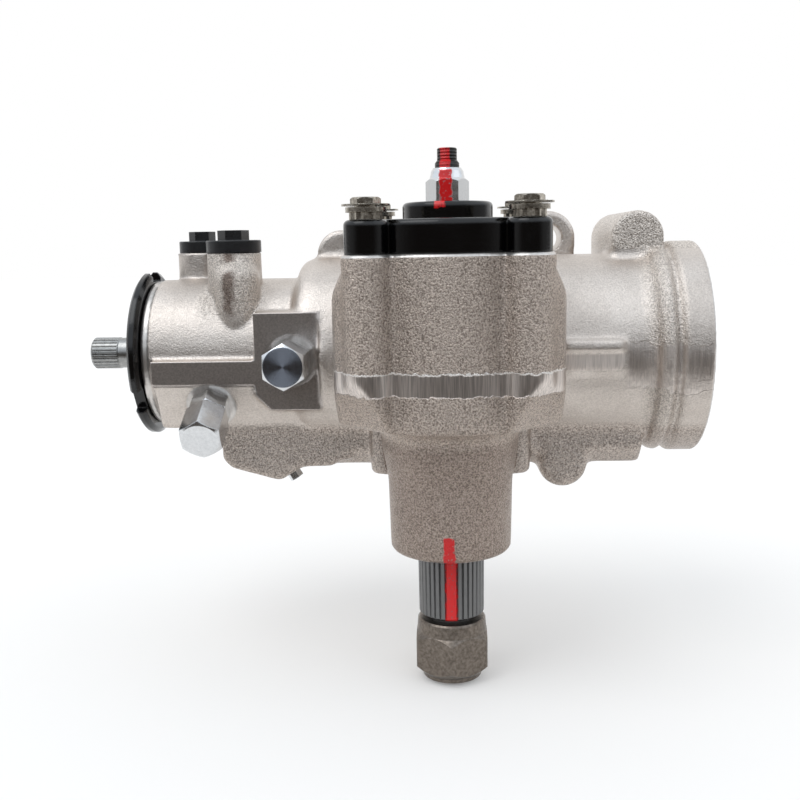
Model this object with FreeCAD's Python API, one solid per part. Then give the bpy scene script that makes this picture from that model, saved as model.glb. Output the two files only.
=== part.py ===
# Recirculating-ball power steering gearbox: worm, rack piston and sector shaft in a cast housing.
# Lengths are millimetres. The model is drawn in the gear frame: the sector shaft stands on Z at
# X = Y = 0, the worm runs along X at Y = WORM_Y and Z = 0, and -Y is the side with the fittings.
# At the end everything is moved so that the origin is the frame bolt hole, on the mounting plane.
import FreeCAD, Part
import math
import os

from FreeCAD import Vector

# Driving dimensions: gear train
WORM_Y = 60.0
MODULE = 5.0
SECTOR_TEETH_PER_TURN = 12
SECTOR_TEETH = 3
PRESSURE_ANGLE = 25.0
TIP_CLEARANCE = 1.25
TOOTH_BACKLASH = 0.5
SECTOR_HALF_WIDTH = 19.0
STEERING_RATIO = 14.0
SECTOR_SWING = 45.0

# Driving dimensions: fits between pieces
RUN_GAP = 0.2
SEAT_GAP = 0.05

# Driving dimensions: cast housing
TUBE_R = 47.4
TUBE_WALL = 7.9
TUBE_LEFT_X = -75.5
SHOULDER_X = -66.8
FLANGE_R = 53.1
FLANGE_X = 110.0
HOUSING_RIGHT_X = 122.6
RIDGE_X = 101.0
RIDGE_R = 51.8
GROOVE_R = 50.7
VALVE_R = 37.7
VALVE_LEFT_X = -151.3
END_BAND = 4.3
END_BAND_CUT = 0.7
HOUSING_TOP_Z = 50.0
BODY_BOTTOM_Z = -26.5
BODY_HALF_WIDTH = 50.5
BODY_FRONT_Y = -36.0
BODY_CORNER_R = 13.0
BODY_SHOULDER_Z = 33.0
BODY_NECK_Z = 45.0
NECK_MARGIN = 1.6
LEDGE = 1.2
BOSS_TOP_R = 31.5
BOSS_BOTTOM_R = 28.2
BOSS_BOTTOM_Z = -87.2
BOSS_STEP_R = 28.9
BOSS_STEP_TOP_Z = -38.0
BOSS_STEP_BOTTOM_Z = -52.0
LAND_LEFT_X = 54.0
LAND_RIGHT_X = 82.0
LAND_BOTTOM_Z = -7.0
LAND_TOP_Z = 8.0
LAND_PROUD = 1.2
WEB_HALF_WIDTH = 38.5
WEB_FRONT_Y = 12.0
BOSS_EDGE_R = 3.5
CHAMBER_R = 36.8
CHAMBER_FLOOR_Z = -22.0

# Driving dimensions: side cover and its fasteners
COVER_R = 43.3
COVER_T = 14.3
EAR_R = 9.5
COVER_BOLT_X = 33.8
COVER_BOLT_Y = 33.8
COVER_EDGE_R = 2.4
TOWER_R = 20.1
TOWER_H = 7.7
TOWER_EDGE_R = 2.0
COVER_BOLT_R = 4.75
COVER_BOLT_DEPTH = 14.0
COVER_BOLT_RUNOUT = 1.0
BOLT_COLLAR_R = 7.0
BOLT_COLLAR_H = 3.0
BOLT_WASHER_R = 8.5
BOLT_WASHER_T = 2.0
BOLT_CLIP_R = 10.1
BOLT_CLIP_T = 0.7
BOLT_CLIP_GAP = 3.0
BOLT_NECK_H = 0.6
BOLT_HEAD_AF = 11.1
BOLT_HEAD_H = 2.8
BOLT_HEAD_TURN = 3.0
ADJUSTER_R = 5.4
ADJUSTER_TIP_R = 4.4
ADJUSTER_TOP_Z = 95.5
ADJUSTER_TIP_H = 5.2
ADJUSTER_SOCKET_AF = 4.8
ADJUSTER_HEAD_R = 7.2
ADJUSTER_HEAD_T = 4.0
LOCK_NUT_AF = 16.7
LOCK_NUT_HEX_H = 10.4
LOCK_NUT_DOME_H = 4.4
LOCK_NUT_DOME_R = 6.3

# Driving dimensions: sector shaft, its bearings and seals
JOURNAL_R = 17.4
SPLINE_TOP_R = 15.6
SPLINE_BOTTOM_R = 15.3
SPLINE_DEPTH = 1.1
SPLINE_COUNT = 36
SPLINE_BLANKS = 4
SPLINE_END_Z = -118.8
THREAD_R = 11.1
SHAFT_END_Z = -151.0
SHAFT_TOP_Z = 58.0
BUSHING_WALL = 2.4
NEEDLE_R = 1.5
NEEDLE_COUNT = 18
LOWER_BEARING_TOP_Z = -30.0
LOWER_BEARING_H = 28.0
BEARING_SHELL = 1.4
SEAL_H = 6.5
SEAL_STEP = 0.4
BACKUP_T = 1.6
CIRCLIP_T = 1.6
CIRCLIP_BITE = 1.8
NUT_AF = 33.34
NUT_TOP_Z = -120.9
NUT_BOTTOM_Z = -149.6
NUT_COLLAR_R = 16.0
NUT_COLLAR_H = 6.5
NUT_FOOT_R = 13.9
NUT_FOOT_H = 1.8

# Driving dimensions: rack piston, worm and balls
PISTON_LEFT_X = -42.5
PISTON_END_GAP = 1.0
PISTON_RIGHT_X = 82.0
RACK_FLAT_HALF = 38.0
WORM_R = 15.0
BALL_R = 3.55
BALL_CIRCLE_R = 16.0
BALL_GAP = 0.35
BALL_TURNS = 2.0
BALLS_PER_TURN = 12
NUT_BORE_R = 19.9
PISTON_PLUG_X = 70.0
PISTON_PLUG_T = 9.0
PISTON_PLUG_STEP = 3.0
WORM_END_GAP = 3.0
PISTON_RING_X = 62.0
PISTON_RING_W = 3.2
PISTON_RING_DEPTH = 3.5
GUIDE_R = 5.0
GUIDE_WALL = 1.0
GUIDE_SPAN = 26.0
GUIDE_RISE = 11.5
GUIDE_BEND_R = 7.0
CLAMP_T = 1.6
CLAMP_HALF = 9.0
CLAMP_SCREW_R = 2.4

# Driving dimensions: control valve, thrust bearings and input shaft
VALVE_BORE_R = 28.0
WEB_LEFT_X = -82.0
WEB_BORE_R = 19.0
THRUST_R = 25.0
THRUST_BORE_R = 15.6
THRUST_RACE_T = 1.2
THRUST_CAGE_T = 2.4
WORM_FLANGE_R = 26.0
WORM_FLANGE_T = 5.0
VALVE_SPOOL_R = 16.6
VALVE_GROOVES = 3
VALVE_GROOVE_W = 3.6
VALVE_GROOVE_DEPTH = 2.2
VALVE_RING_W = 1.8
VALVE_RING_DEPTH = 1.8
SPOOL_SLOTS = 8
SPOOL_SLOT_W = 3.0
STUB_VALVE_R = 9.0
STUB_BEARING_R = 11.0
STUB_NECK_R = 7.9
STUB_SPLINE_R = 8.2
STUB_SPLINE_DEPTH = 0.8
STUB_SPLINE_COUNT = 24
STUB_SPLINE_LENGTH = 14.0
STUB_LEFT_X = -186.6
STUB_SEAL_WALL = 4.6
STUB_BEARING_WALL = 4.2
STUB_CHAMFER = 1.0
TORSION_BAR_R = 3.2
TORSION_HEAD_R = 4.2
TORSION_HEAD_L = 9.0
ADJUSTER_PLUG_R = 32.4
ADJUSTER_PLUG_LEFT_X = -154.0
ADJUSTER_PLUG_T = 27.0
LOCK_RING_R = 42.0
LOCK_RING_T = 5.4
LOCK_RING_DISH = 1.6
LOCK_RING_NOTCH_DEPTH = 5.0
LOCK_RING_NOTCH_W = 13.0
LOCK_RING_NOTCH_ANGLES = (-31.0, 89.0, 209.0)

# Driving dimensions: housing end plug
END_PLUG_X = 108.0
END_PLUG_T = 9.0
END_CLIP_T = 2.2
END_CLIP_BITE = 2.2
SEAL_SECTION_R = 1.5

# Driving dimensions: hose ports and their shipping caps
PORT_BOSS_R = 13.6
REAR_BOSS_R = 13.0
PORT_BOSS_BOTTOM_Z = 8.0
PORT_LOBE_R = 11.0
PORT_LOBE_X = -104.0
PORT_LOBE_Y = 36.0
PORT_LOBE_DROP = 5.0
PORT_TOP_Z = 51.3
FRONT_PORT_X = -107.0
FRONT_PORT_Y = 45.0
REAR_PORT_X = -130.0
REAR_PORT_Y = 74.0
PORT_BORE_R = 8.0
PORT_DEPTH = 16.0
PASSAGE_R = 4.0
PASSAGE_END_Z = 18.0
CAP_FLANGE_R = 13.65
REAR_CAP_FLANGE_R = 12.05
CAP_FLANGE_T = 6.0
CAP_KNOB_R = 7.8
REAR_CAP_KNOB_R = 6.9
CAP_KNOB_T = 4.9
CAP_KNOB_TURN = 12.0
CAP_STEM_L = 9.0
SEAT_INSERT_R = 5.4
SEAT_INSERT_H = 5.0

# Driving dimensions: assist pad and its two fittings
PAD_Y = 18.0
PAD_LEFT_X = -93.7
PAD_RIGHT_X = -62.0
PAD_TOP_Z = 22.8
PAD_BOTTOM_Z = -24.5
STRIP_LEFT_X = -144.6
STRIP_TOP_Z = 0.0
STRIP_BOTTOM_Z = -11.8
PAD_CORNER_CUT = 7.0
PAD_MILL_REACH = 20.0
FACET_Y = 30.0
FACET_Z = -35.4
SPOTFACE_R = 12.5
SPOTFACE_DEPTH = 0.6
UPPER_FITTING_X = -75.3
UPPER_FITTING_Z = -0.2
LOWER_FITTING_X = -117.0
LOWER_FITTING_Z = -23.0
ADAPTER_AF = 17.46
ADAPTER_HEX_H = 8.5
ADAPTER_STEM_R = 7.1
ADAPTER_STEM_L = 11.0
ADAPTER_BORE_R = 3.2
ADAPTER_NOSE_R = 5.2
CAP_AF = 19.05
CAP_GAP = 1.1
CAP_LENGTH = 18.6
CAP_WALL = 2.2
CAP_FACE_R = 8.9

# Driving dimensions: mounting lugs and lower rail
MOUNT_Y = 116.0
LEFT_LUG_FRONT_Y = 58.0
FRAME_LUG_FRONT_Y = 88.0
RIGHT_LUG_FRONT_Y = 45.0
LUG_EDGE_R = 2.2
FRAME_HOLE_R = 7.2
FRAME_HOLE_X = 53.5
FRAME_HOLE_Z = 55.6
FRAME_LUG_R = 14.3
TAP_R = 4.67
TAP_DEPTH = 25.0
LEFT_LUG_R = 12.5
RIGHT_LUG_R = 12.8
LOWER_LUG_R = 12.3
LEFT_LUG_X = -54.5
LEFT_LUG_Z = 49.0
RIGHT_LUG_X = 93.1
RIGHT_LUG_Z = 55.4
LOWER_LUG_X = 55.7
LOWER_LUG_Z = -54.7
RAIL_FRONT_Y = 30.0
RAIL_BACK_Y = 80.0
LUG_NECK_TOP = 20.0
RAIL_LEFT_X = -64.0
RAIL_RIGHT_X = 94.5
RAIL_TOP_Z = -30.0
RAIL_BOTTOM_Z = -56.0
RAIL_CHAMFER = 8.6
VALVE_LUG_LEFT_X = -114.6
VALVE_LUG_SHOULDER_X = -110.2
VALVE_LUG_LOW_X = -85.6
VALVE_LUG_RIGHT_X = -74.2
VALVE_LUG_SIDE_Z = -51.6
VALVE_LUG_SHOULDER_Z = -56.3
VALVE_LUG_LOW_Z = -63.1
VALVE_LUG_STEP_X = -58.6
VALVE_LUG_STEP_Z = -55.6
VALVE_LUG_END_X = -50.0
VALVE_LUG_END_Z = -52.5
VALVE_LUG_TAP_X = -98.0
VALVE_LUG_TAP_Z = -48.5
BLEED_SCREW_R = 3.6
BLEED_SCREW_H = 3.6
BLEED_SHANK_R = 2.0
BLEED_SHANK_L = 8.0
BLEED_INSET = 8.0

# Sizes that follow from the ones above
PITCH_R = MODULE * SECTOR_TEETH_PER_TURN / 2
BASE_R = PITCH_R * math.cos(math.radians(PRESSURE_ANGLE))
TIP_R = PITCH_R + MODULE
ROOT_R = PITCH_R - MODULE - TIP_CLEARANCE
RACK_PITCH = math.pi * MODULE
RACK_TRAVEL = PITCH_R * math.radians(SECTOR_SWING)
WORM_LEAD = 2 * math.pi * PITCH_R / STEERING_RATIO
BORE_R = TUBE_R - TUBE_WALL
BORE_LEFT_X = PISTON_LEFT_X - RACK_TRAVEL - PISTON_END_GAP
PISTON_R = BORE_R - RUN_GAP
COVER_TOP_Z = HOUSING_TOP_Z + COVER_T
TOWER_TOP_Z = COVER_TOP_Z + TOWER_H
BUSHING_BORE_R = JOURNAL_R + RUN_GAP
BUSHING_R = BUSHING_BORE_R + BUSHING_WALL
COVER_PILOT_R = BUSHING_R + 5.0
COVER_PILOT_Z = SECTOR_HALF_WIDTH + 3.0
NEEDLE_CIRCLE_R = JOURNAL_R + RUN_GAP + NEEDLE_R
LOWER_BORE_R = NEEDLE_CIRCLE_R + NEEDLE_R + BEARING_SHELL
WORM_FLANGE_LEFT_X = WEB_LEFT_X - 2 * THRUST_RACE_T - THRUST_CAGE_T - WORM_FLANGE_T - 2 * RUN_GAP
ADJUSTER_PLUG_RIGHT_X = ADJUSTER_PLUG_LEFT_X + ADJUSTER_PLUG_T
VALVE_BODY_LEFT_X = ADJUSTER_PLUG_RIGHT_X + 2 * THRUST_RACE_T + THRUST_CAGE_T + 2 * RUN_GAP
VALVE_BODY_LENGTH = WORM_FLANGE_LEFT_X - VALVE_BODY_LEFT_X
WORM_RIGHT_X = PISTON_PLUG_X - RACK_TRAVEL - WORM_END_GAP
PISTON_PLUG_R = NUT_BORE_R + PISTON_PLUG_STEP
STUB_SEAL_R = STUB_BEARING_R + STUB_SEAL_WALL
FACET_DROP = math.atan2(FACET_Y - PAD_Y, STRIP_BOTTOM_Z - FACET_Z)
LOWER_FITTING_Y = PAD_Y + (STRIP_BOTTOM_Z - LOWER_FITTING_Z) * math.tan(FACET_DROP)
VALVE_BODY_R = VALVE_BORE_R - RUN_GAP
ORIGIN = Vector(FRAME_HOLE_X, MOUNT_Y, FRAME_HOLE_Z)

X_AXIS = Vector(1, 0, 0)
Y_AXIS = Vector(0, 1, 0)
Z_AXIS = Vector(0, 0, 1)


# Plain solids used all over

def cyl_x(radius, x0, x1, y=WORM_Y, z=0.0):
    return Part.makeCylinder(radius, x1 - x0, Vector(x0, y, z), X_AXIS)


def cyl_y(radius, y0, y1, x, z):
    return Part.makeCylinder(radius, y1 - y0, Vector(x, y0, z), Y_AXIS)


def cyl_z(radius, z0, z1, x=0.0, y=0.0):
    return Part.makeCylinder(radius, z1 - z0, Vector(x, y, z0), Z_AXIS)


def ring_x(r_out, r_in, x0, x1):
    return cyl_x(r_out, x0, x1).cut(cyl_x(r_in, x0, x1))


def ring_z(r_out, r_in, z0, z1):
    return cyl_z(r_out, z0, z1).cut(cyl_z(r_in, z0, z1))


def box(x0, x1, y0, y1, z0, z1):
    return Part.makeBox(x1 - x0, y1 - y0, z1 - z0, Vector(x0, y0, z0))


def prism(points, direction):
    outline = Part.makePolygon(points + [points[0]])
    return Part.Face(outline).extrude(direction)


def revolved_x(profile):
    """Solid of revolution about the worm's axis from (x, radius) corners."""
    points = [Vector(x, WORM_Y + radius, 0) for x, radius in profile]
    face = Part.Face(Part.makePolygon(points + [points[0]]))
    return face.revolve(Vector(0, WORM_Y, 0), X_AXIS, 360)


def revolved_z(profile):
    """Solid of revolution about the sector shaft's axis from (radius, z) corners."""
    points = [Vector(radius, 0, z) for radius, z in profile]
    face = Part.Face(Part.makePolygon(points + [points[0]]))
    return face.revolve(Vector(0, 0, 0), Z_AXIS, 360)


def hexagon_z(across_flats, z0, z1, turn=0.0):
    corner = across_flats / 2 / math.cos(math.pi / 6)
    angles = [math.radians(turn + 60 * i) for i in range(6)]
    points = [Vector(corner * math.cos(a), corner * math.sin(a), z0) for a in angles]
    return prism(points, Vector(0, 0, z1 - z0))


def fused(shapes):
    return shapes[0].multiFuse(shapes[1:]).removeSplitter()


def filleted(shape, radius, wanted):
    return shape.makeFillet(radius, [edge for edge in shape.Edges if wanted(edge)])


def along(shape, base, direction):
    """Turns a shape drawn up Z from the origin so that it stands on base, along direction."""
    placed = shape.copy()
    placed.Placement = FreeCAD.Placement(base, FreeCAD.Rotation(Z_AXIS, direction))
    return placed


def at_cover_bolts(shape):
    places = [(sx * COVER_BOLT_X, sy * COVER_BOLT_Y) for sy in (-1, 1) for sx in (-1, 1)]
    copies = []
    for x, y in places:
        copy = shape.copy()
        copy.translate(Vector(x, y, 0))
        copies.append(copy)
    return copies


# Cast housing: outside forms

def housing_tube():
    """Piston cylinder, end flange with its two valleys, shoulder and valve housing."""
    band_r = VALVE_R - END_BAND_CUT
    band_x = VALVE_LEFT_X + END_BAND
    profile = [
        (VALVE_LEFT_X, 0), (VALVE_LEFT_X, band_r - 1), (VALVE_LEFT_X + 1, band_r), (band_x, band_r),
        (band_x + 0.5, VALVE_R), (TUBE_LEFT_X - 2, VALVE_R), (TUBE_LEFT_X, VALVE_R + 2),
        (TUBE_LEFT_X, TUBE_R - 6), (TUBE_LEFT_X + 1.5, TUBE_R - 2.5), (TUBE_LEFT_X + 4.5, TUBE_R - 0.6),
        (SHOULDER_X, TUBE_R), (RIDGE_X - 8, TUBE_R), (RIDGE_X - 4, TUBE_R + 1.0), (RIDGE_X, RIDGE_R),
        (RIDGE_X + 4, RIDGE_R), (RIDGE_X + 6.5, GROOVE_R), (FLANGE_X, FLANGE_R),
        (HOUSING_RIGHT_X - 0.8, FLANGE_R), (HOUSING_RIGHT_X, FLANGE_R - 0.8), (HOUSING_RIGHT_X, 0),
    ]
    return revolved_x(profile)


def cover_outline_solid(margin, z0, z1):
    """The side cover's outline, a circle with four ears, grown by a margin."""
    ears = at_cover_bolts(cyl_z(EAR_R + margin, z0, z1))
    return fused([cyl_z(COVER_R + margin, z0, z1)] + ears)


def rounded_wire(half_width, y0, y1, radius, z):
    block = box(-half_width, half_width, y0, y1, z, z + 1)
    upright = [e for e in block.Edges if e.Length < 1.01 and e.Vertexes[0].Y == e.Vertexes[1].Y
               and e.Vertexes[0].X == e.Vertexes[1].X]
    block = block.makeFillet(radius, upright)
    bottom = [f for f in block.Faces if abs(f.CenterOfMass.z - z) < 1e-6][0]
    return bottom.OuterWire


def housing_flanks():
    """Wider lower part of the sector chamber, which runs in to the neck under the cover."""
    neck_half = COVER_R + NECK_MARGIN
    low = rounded_wire(BODY_HALF_WIDTH, BODY_FRONT_Y, WORM_Y, BODY_CORNER_R, BODY_BOTTOM_Z)
    mid = rounded_wire(BODY_HALF_WIDTH, BODY_FRONT_Y, WORM_Y, BODY_CORNER_R, BODY_SHOULDER_Z)
    top = rounded_wire(neck_half, BODY_FRONT_Y, WORM_Y, BODY_CORNER_R - 2, BODY_NECK_Z)
    return fused([Part.makeLoft([low, mid], True, True), Part.makeLoft([mid, top], True, True)])


def corner_cutter(side):
    """Half space that planes off one lower front corner of the sector chamber."""
    inner = Vector(side * 25.5, -38.0, BODY_BOTTOM_Z)
    upper = Vector(side * 41.5, -41.0, -4.5)
    outer = Vector(side * BODY_HALF_WIDTH, -12.0, BODY_BOTTOM_Z)
    normal = (upper - inner).cross(outer - inner)
    if normal.z > 0:
        normal = normal * -1
    block = box(-100, 100, -100, 100, 0, 60)
    return along(block, inner, normal)


def housing_body():
    neck = cover_outline_solid(NECK_MARGIN, BODY_BOTTOM_Z, HOUSING_TOP_Z)
    neck = neck.makeChamfer(LEDGE, [e for e in neck.Edges if e.BoundBox.ZMin > HOUSING_TOP_Z - 0.01])
    body = fused([neck, housing_flanks()])
    return body.cut(corner_cutter(-1)).cut(corner_cutter(1))


def housing_boss():
    """Tapered boss round the lower end of the sector shaft."""
    foot_r = BOSS_TOP_R + 5
    profile = [
        (0, BODY_BOTTOM_Z + 4), (foot_r, BODY_BOTTOM_Z + 4), (foot_r, BODY_BOTTOM_Z - 0.5),
        (BOSS_TOP_R + 1.4, BODY_BOTTOM_Z - 3), (BOSS_TOP_R, BODY_BOTTOM_Z - 6),
        (BOSS_TOP_R, BOSS_STEP_TOP_Z), (BOSS_STEP_R, BOSS_STEP_BOTTOM_Z), (BOSS_BOTTOM_R, BOSS_BOTTOM_Z),
        (0, BOSS_BOTTOM_Z),
    ]
    boss = filleted(revolved_z(profile), BOSS_EDGE_R, lambda e: e.BoundBox.ZMax < BOSS_BOTTOM_Z + 0.01)
    web = box(-WEB_HALF_WIDTH, WEB_HALF_WIDTH, WEB_FRONT_Y, RAIL_FRONT_Y + 15, RAIL_BOTTOM_Z, BODY_BOTTOM_Z + 4)
    web = filleted(web, 6.0, lambda e: e.BoundBox.YMax < WEB_FRONT_Y + 0.1 and e.BoundBox.XLength < 0.1)
    return fused([boss, web])


def ground_land():
    """Flat land ground on the front of the piston cylinder."""
    front_y = WORM_Y - TUBE_R - LAND_PROUD
    land = box(LAND_LEFT_X, LAND_RIGHT_X, front_y, WORM_Y - TUBE_R + 5, LAND_BOTTOM_Z, LAND_TOP_Z)
    return filleted(land, LAND_PROUD * 0.8, lambda e: e.BoundBox.YMax < front_y + 0.01)


def upper_lug(x, z, radius, front_y):
    """Round-topped lug that rises past the cylinder's crest, with its back on the mounting plane."""
    foot_z = 0.0
    tab = fused([
        cyl_y(radius, front_y, MOUNT_Y, x, z),
        box(x - radius, x + radius, front_y, MOUNT_Y, foot_z, z),
    ])
    return filleted(tab, LUG_EDGE_R, lambda e: e.BoundBox.YMax < front_y + 0.01 and e.BoundBox.ZMax > foot_z + 0.01)


def lower_rail():
    """Rail under the cylinder that carries the lower lug."""
    profile = [
        Vector(RAIL_LEFT_X, RAIL_FRONT_Y, RAIL_TOP_Z),
        Vector(RAIL_LEFT_X, RAIL_FRONT_Y, RAIL_BOTTOM_Z + RAIL_CHAMFER),
        Vector(RAIL_LEFT_X, RAIL_FRONT_Y + RAIL_CHAMFER, RAIL_BOTTOM_Z),
        Vector(RAIL_LEFT_X, RAIL_BACK_Y, RAIL_BOTTOM_Z),
        Vector(RAIL_LEFT_X, RAIL_BACK_Y, RAIL_TOP_Z),
    ]
    rail = prism(profile, Vector(RAIL_RIGHT_X - RAIL_LEFT_X, 0, 0))
    lug = cyl_y(LOWER_LUG_R, RAIL_FRONT_Y, MOUNT_Y, LOWER_LUG_X, LOWER_LUG_Z)
    lug = filleted(lug, LUG_EDGE_R, lambda e: e.BoundBox.YMax < RAIL_FRONT_Y + 0.01)
    neck = box(LOWER_LUG_X - LOWER_LUG_R, LOWER_LUG_X + LOWER_LUG_R, RAIL_BACK_Y - 10, MOUNT_Y, LOWER_LUG_Z,
               -LUG_NECK_TOP)
    return fused([rail, lug, neck])


def valve_lug():
    """Angular lug under the valve housing."""
    corners = [
        (VALVE_LUG_LEFT_X, RAIL_TOP_Z), (VALVE_LUG_LEFT_X, VALVE_LUG_SIDE_Z),
        (VALVE_LUG_SHOULDER_X, VALVE_LUG_SHOULDER_Z), (VALVE_LUG_LOW_X, VALVE_LUG_LOW_Z),
        (VALVE_LUG_RIGHT_X, RAIL_BOTTOM_Z), (VALVE_LUG_STEP_X, VALVE_LUG_STEP_Z),
        (VALVE_LUG_STEP_X + 3.6, VALVE_LUG_END_Z), (VALVE_LUG_END_X, VALVE_LUG_END_Z), (VALVE_LUG_END_X, RAIL_TOP_Z),
    ]
    points = [Vector(x, RAIL_FRONT_Y, z) for x, z in corners]
    return prism(points, Vector(0, MOUNT_Y - RAIL_FRONT_Y, 0))


def port_bosses():
    """Round bosses under the two hose ports, the front one with a lobe down towards the pad."""
    front = cyl_z(PORT_BOSS_R, PORT_BOSS_BOTTOM_Z, PORT_TOP_Z, FRONT_PORT_X, FRONT_PORT_Y)
    rear = cyl_z(REAR_BOSS_R, PORT_BOSS_BOTTOM_Z, PORT_TOP_Z, REAR_PORT_X, REAR_PORT_Y)
    low_z = PORT_BOSS_BOTTOM_Z
    top_z = PORT_TOP_Z - PORT_LOBE_DROP
    lobe = revolved_z([
        (0, low_z), (PORT_LOBE_R * 0.5, low_z), (PORT_LOBE_R, low_z + PORT_LOBE_R * 0.7),
        (PORT_LOBE_R, top_z - PORT_LOBE_DROP), (PORT_LOBE_R * 0.6, top_z), (0, top_z)])
    lobe.translate(Vector(PORT_LOBE_X, PORT_LOBE_Y, 0))
    return fused([front, rear, lobe])


def assist_pad():
    """Machined pad and the strip beside it, on one plane, over a sloping face."""
    slope = [
        Vector(STRIP_LEFT_X, PAD_Y, STRIP_TOP_Z), Vector(STRIP_LEFT_X, PAD_Y, STRIP_BOTTOM_Z),
        Vector(STRIP_LEFT_X, FACET_Y, FACET_Z), Vector(STRIP_LEFT_X, WORM_Y, -VALVE_R),
        Vector(STRIP_LEFT_X, WORM_Y, STRIP_TOP_Z),
    ]
    strip = prism(slope, Vector(PAD_RIGHT_X - STRIP_LEFT_X, 0, 0))
    return fused([strip, pad_prism(PAD_Y, WORM_Y)])


def pad_prism(y0, y1):
    """The pad's outline between two planes."""
    outline = [
        Vector(PAD_LEFT_X, y0, PAD_TOP_Z), Vector(PAD_RIGHT_X, y0, PAD_TOP_Z),
        Vector(PAD_RIGHT_X, y0, PAD_BOTTOM_Z), Vector(PAD_LEFT_X + PAD_CORNER_CUT, y0, PAD_BOTTOM_Z),
        Vector(PAD_LEFT_X, y0, PAD_BOTTOM_Z + PAD_CORNER_CUT),
    ]
    return prism(outline, Vector(0, y1 - y0, 0))


def milled_tube():
    """The turned forms with the shoulder milled away in front of the pad."""
    mill = box(TUBE_LEFT_X - 5, PAD_RIGHT_X, PAD_Y - PAD_MILL_REACH, PAD_Y, PAD_BOTTOM_Z, PAD_TOP_Z)
    return housing_tube().cut(mill)


def housing_outside():
    parts = [
        milled_tube(), housing_body(), housing_boss(), ground_land(), lower_rail(), valve_lug(),
        upper_lug(LEFT_LUG_X, LEFT_LUG_Z, LEFT_LUG_R, LEFT_LUG_FRONT_Y),
        upper_lug(FRAME_HOLE_X, FRAME_HOLE_Z, FRAME_LUG_R, FRAME_LUG_FRONT_Y),
        upper_lug(RIGHT_LUG_X, RIGHT_LUG_Z, RIGHT_LUG_R, RIGHT_LUG_FRONT_Y),
        port_bosses(), assist_pad(),
    ]
    return fused(parts)


# Cast housing: cavities and holes

def sector_cavity():
    return fused([
        cyl_z(CHAMBER_R, CHAMBER_FLOOR_Z, HOUSING_TOP_Z + 1),
        cyl_z(LOWER_BORE_R, BOSS_BOTTOM_Z - 1, CHAMBER_FLOOR_Z + 1),
        cyl_z(LOWER_BORE_R + CIRCLIP_BITE, circlip_z() - SEAT_GAP, circlip_z() + CIRCLIP_T + SEAT_GAP),
    ])


def worm_cavity():
    plug_bore = ADJUSTER_PLUG_R + SEAT_GAP
    clip_x = END_PLUG_X + END_PLUG_T
    return fused([
        cyl_x(BORE_R, BORE_LEFT_X, HOUSING_RIGHT_X + 1),
        cyl_x(BORE_R + END_CLIP_BITE, clip_x, clip_x + END_CLIP_T + 2 * SEAT_GAP),
        cyl_x(WEB_BORE_R, WEB_LEFT_X - 1, BORE_LEFT_X + 1),
        cyl_x(VALVE_BORE_R, VALVE_LEFT_X - 1, WEB_LEFT_X),
        cyl_x(plug_bore, VALVE_LEFT_X - 1, ADJUSTER_PLUG_RIGHT_X + 1),
    ])


def port_holes():
    """Port bores, each with a drilling on to the middle of the valve body."""
    floor_z = PORT_TOP_Z - PORT_DEPTH
    target = Vector(VALVE_BODY_LEFT_X + VALVE_BODY_LENGTH / 2, WORM_Y, PASSAGE_END_Z)
    holes = []
    for x, y in ((FRONT_PORT_X, FRONT_PORT_Y), (REAR_PORT_X, REAR_PORT_Y)):
        holes.append(cyl_z(PORT_BORE_R, floor_z, PORT_TOP_Z + 1, x, y))
        start = Vector(x, y, floor_z + 1)
        run = target - start
        holes.append(Part.makeCylinder(PASSAGE_R, run.Length, start, run))
    return holes


def fitting_frames():
    """Base point on the spotface and outward direction of the two assist fittings."""
    upper = (Vector(UPPER_FITTING_X, PAD_Y + SPOTFACE_DEPTH, UPPER_FITTING_Z), Vector(0, -1, 0))
    out = Vector(0, -math.cos(FACET_DROP), -math.sin(FACET_DROP))
    lower = (Vector(LOWER_FITTING_X, LOWER_FITTING_Y, LOWER_FITTING_Z) - out * SPOTFACE_DEPTH, out)
    return (("upper", upper), ("lower", lower))


def fitting_holes():
    holes = []
    for _, (base, direction) in fitting_frames():
        inward = direction * -1
        holes.append(Part.makeCylinder(SPOTFACE_R, 30, base, direction))
        holes.append(Part.makeCylinder(ADAPTER_STEM_R + SEAT_GAP, ADAPTER_STEM_L + 1, base, inward))
        holes.append(Part.makeCylinder(ADAPTER_BORE_R, 26, base, inward))
    return holes


def lug_holes():
    taps = (
        (LEFT_LUG_X, LEFT_LUG_Z), (RIGHT_LUG_X, RIGHT_LUG_Z), (LOWER_LUG_X, LOWER_LUG_Z),
        (VALVE_LUG_TAP_X, VALVE_LUG_TAP_Z),
    )
    holes = [cyl_y(TAP_R, MOUNT_Y - TAP_DEPTH, MOUNT_Y + 1, x, z) for x, z in taps]
    holes.append(cyl_y(FRAME_HOLE_R, FRAME_LUG_FRONT_Y - 1, MOUNT_Y + 1, FRAME_HOLE_X, FRAME_HOLE_Z))
    return holes


def bleed_frame():
    """Middle of the lug's sloping edge, and the way out of it."""
    low = Vector(VALVE_LUG_LOW_X, 0, VALVE_LUG_LOW_Z)
    high = Vector(VALVE_LUG_RIGHT_X, 0, RAIL_BOTTOM_Z)
    edge = high - low
    middle = low + edge * 0.5 + Vector(0, RAIL_FRONT_Y + BLEED_INSET, 0)
    return middle, Vector(edge.z, 0, -edge.x).normalize()


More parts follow.
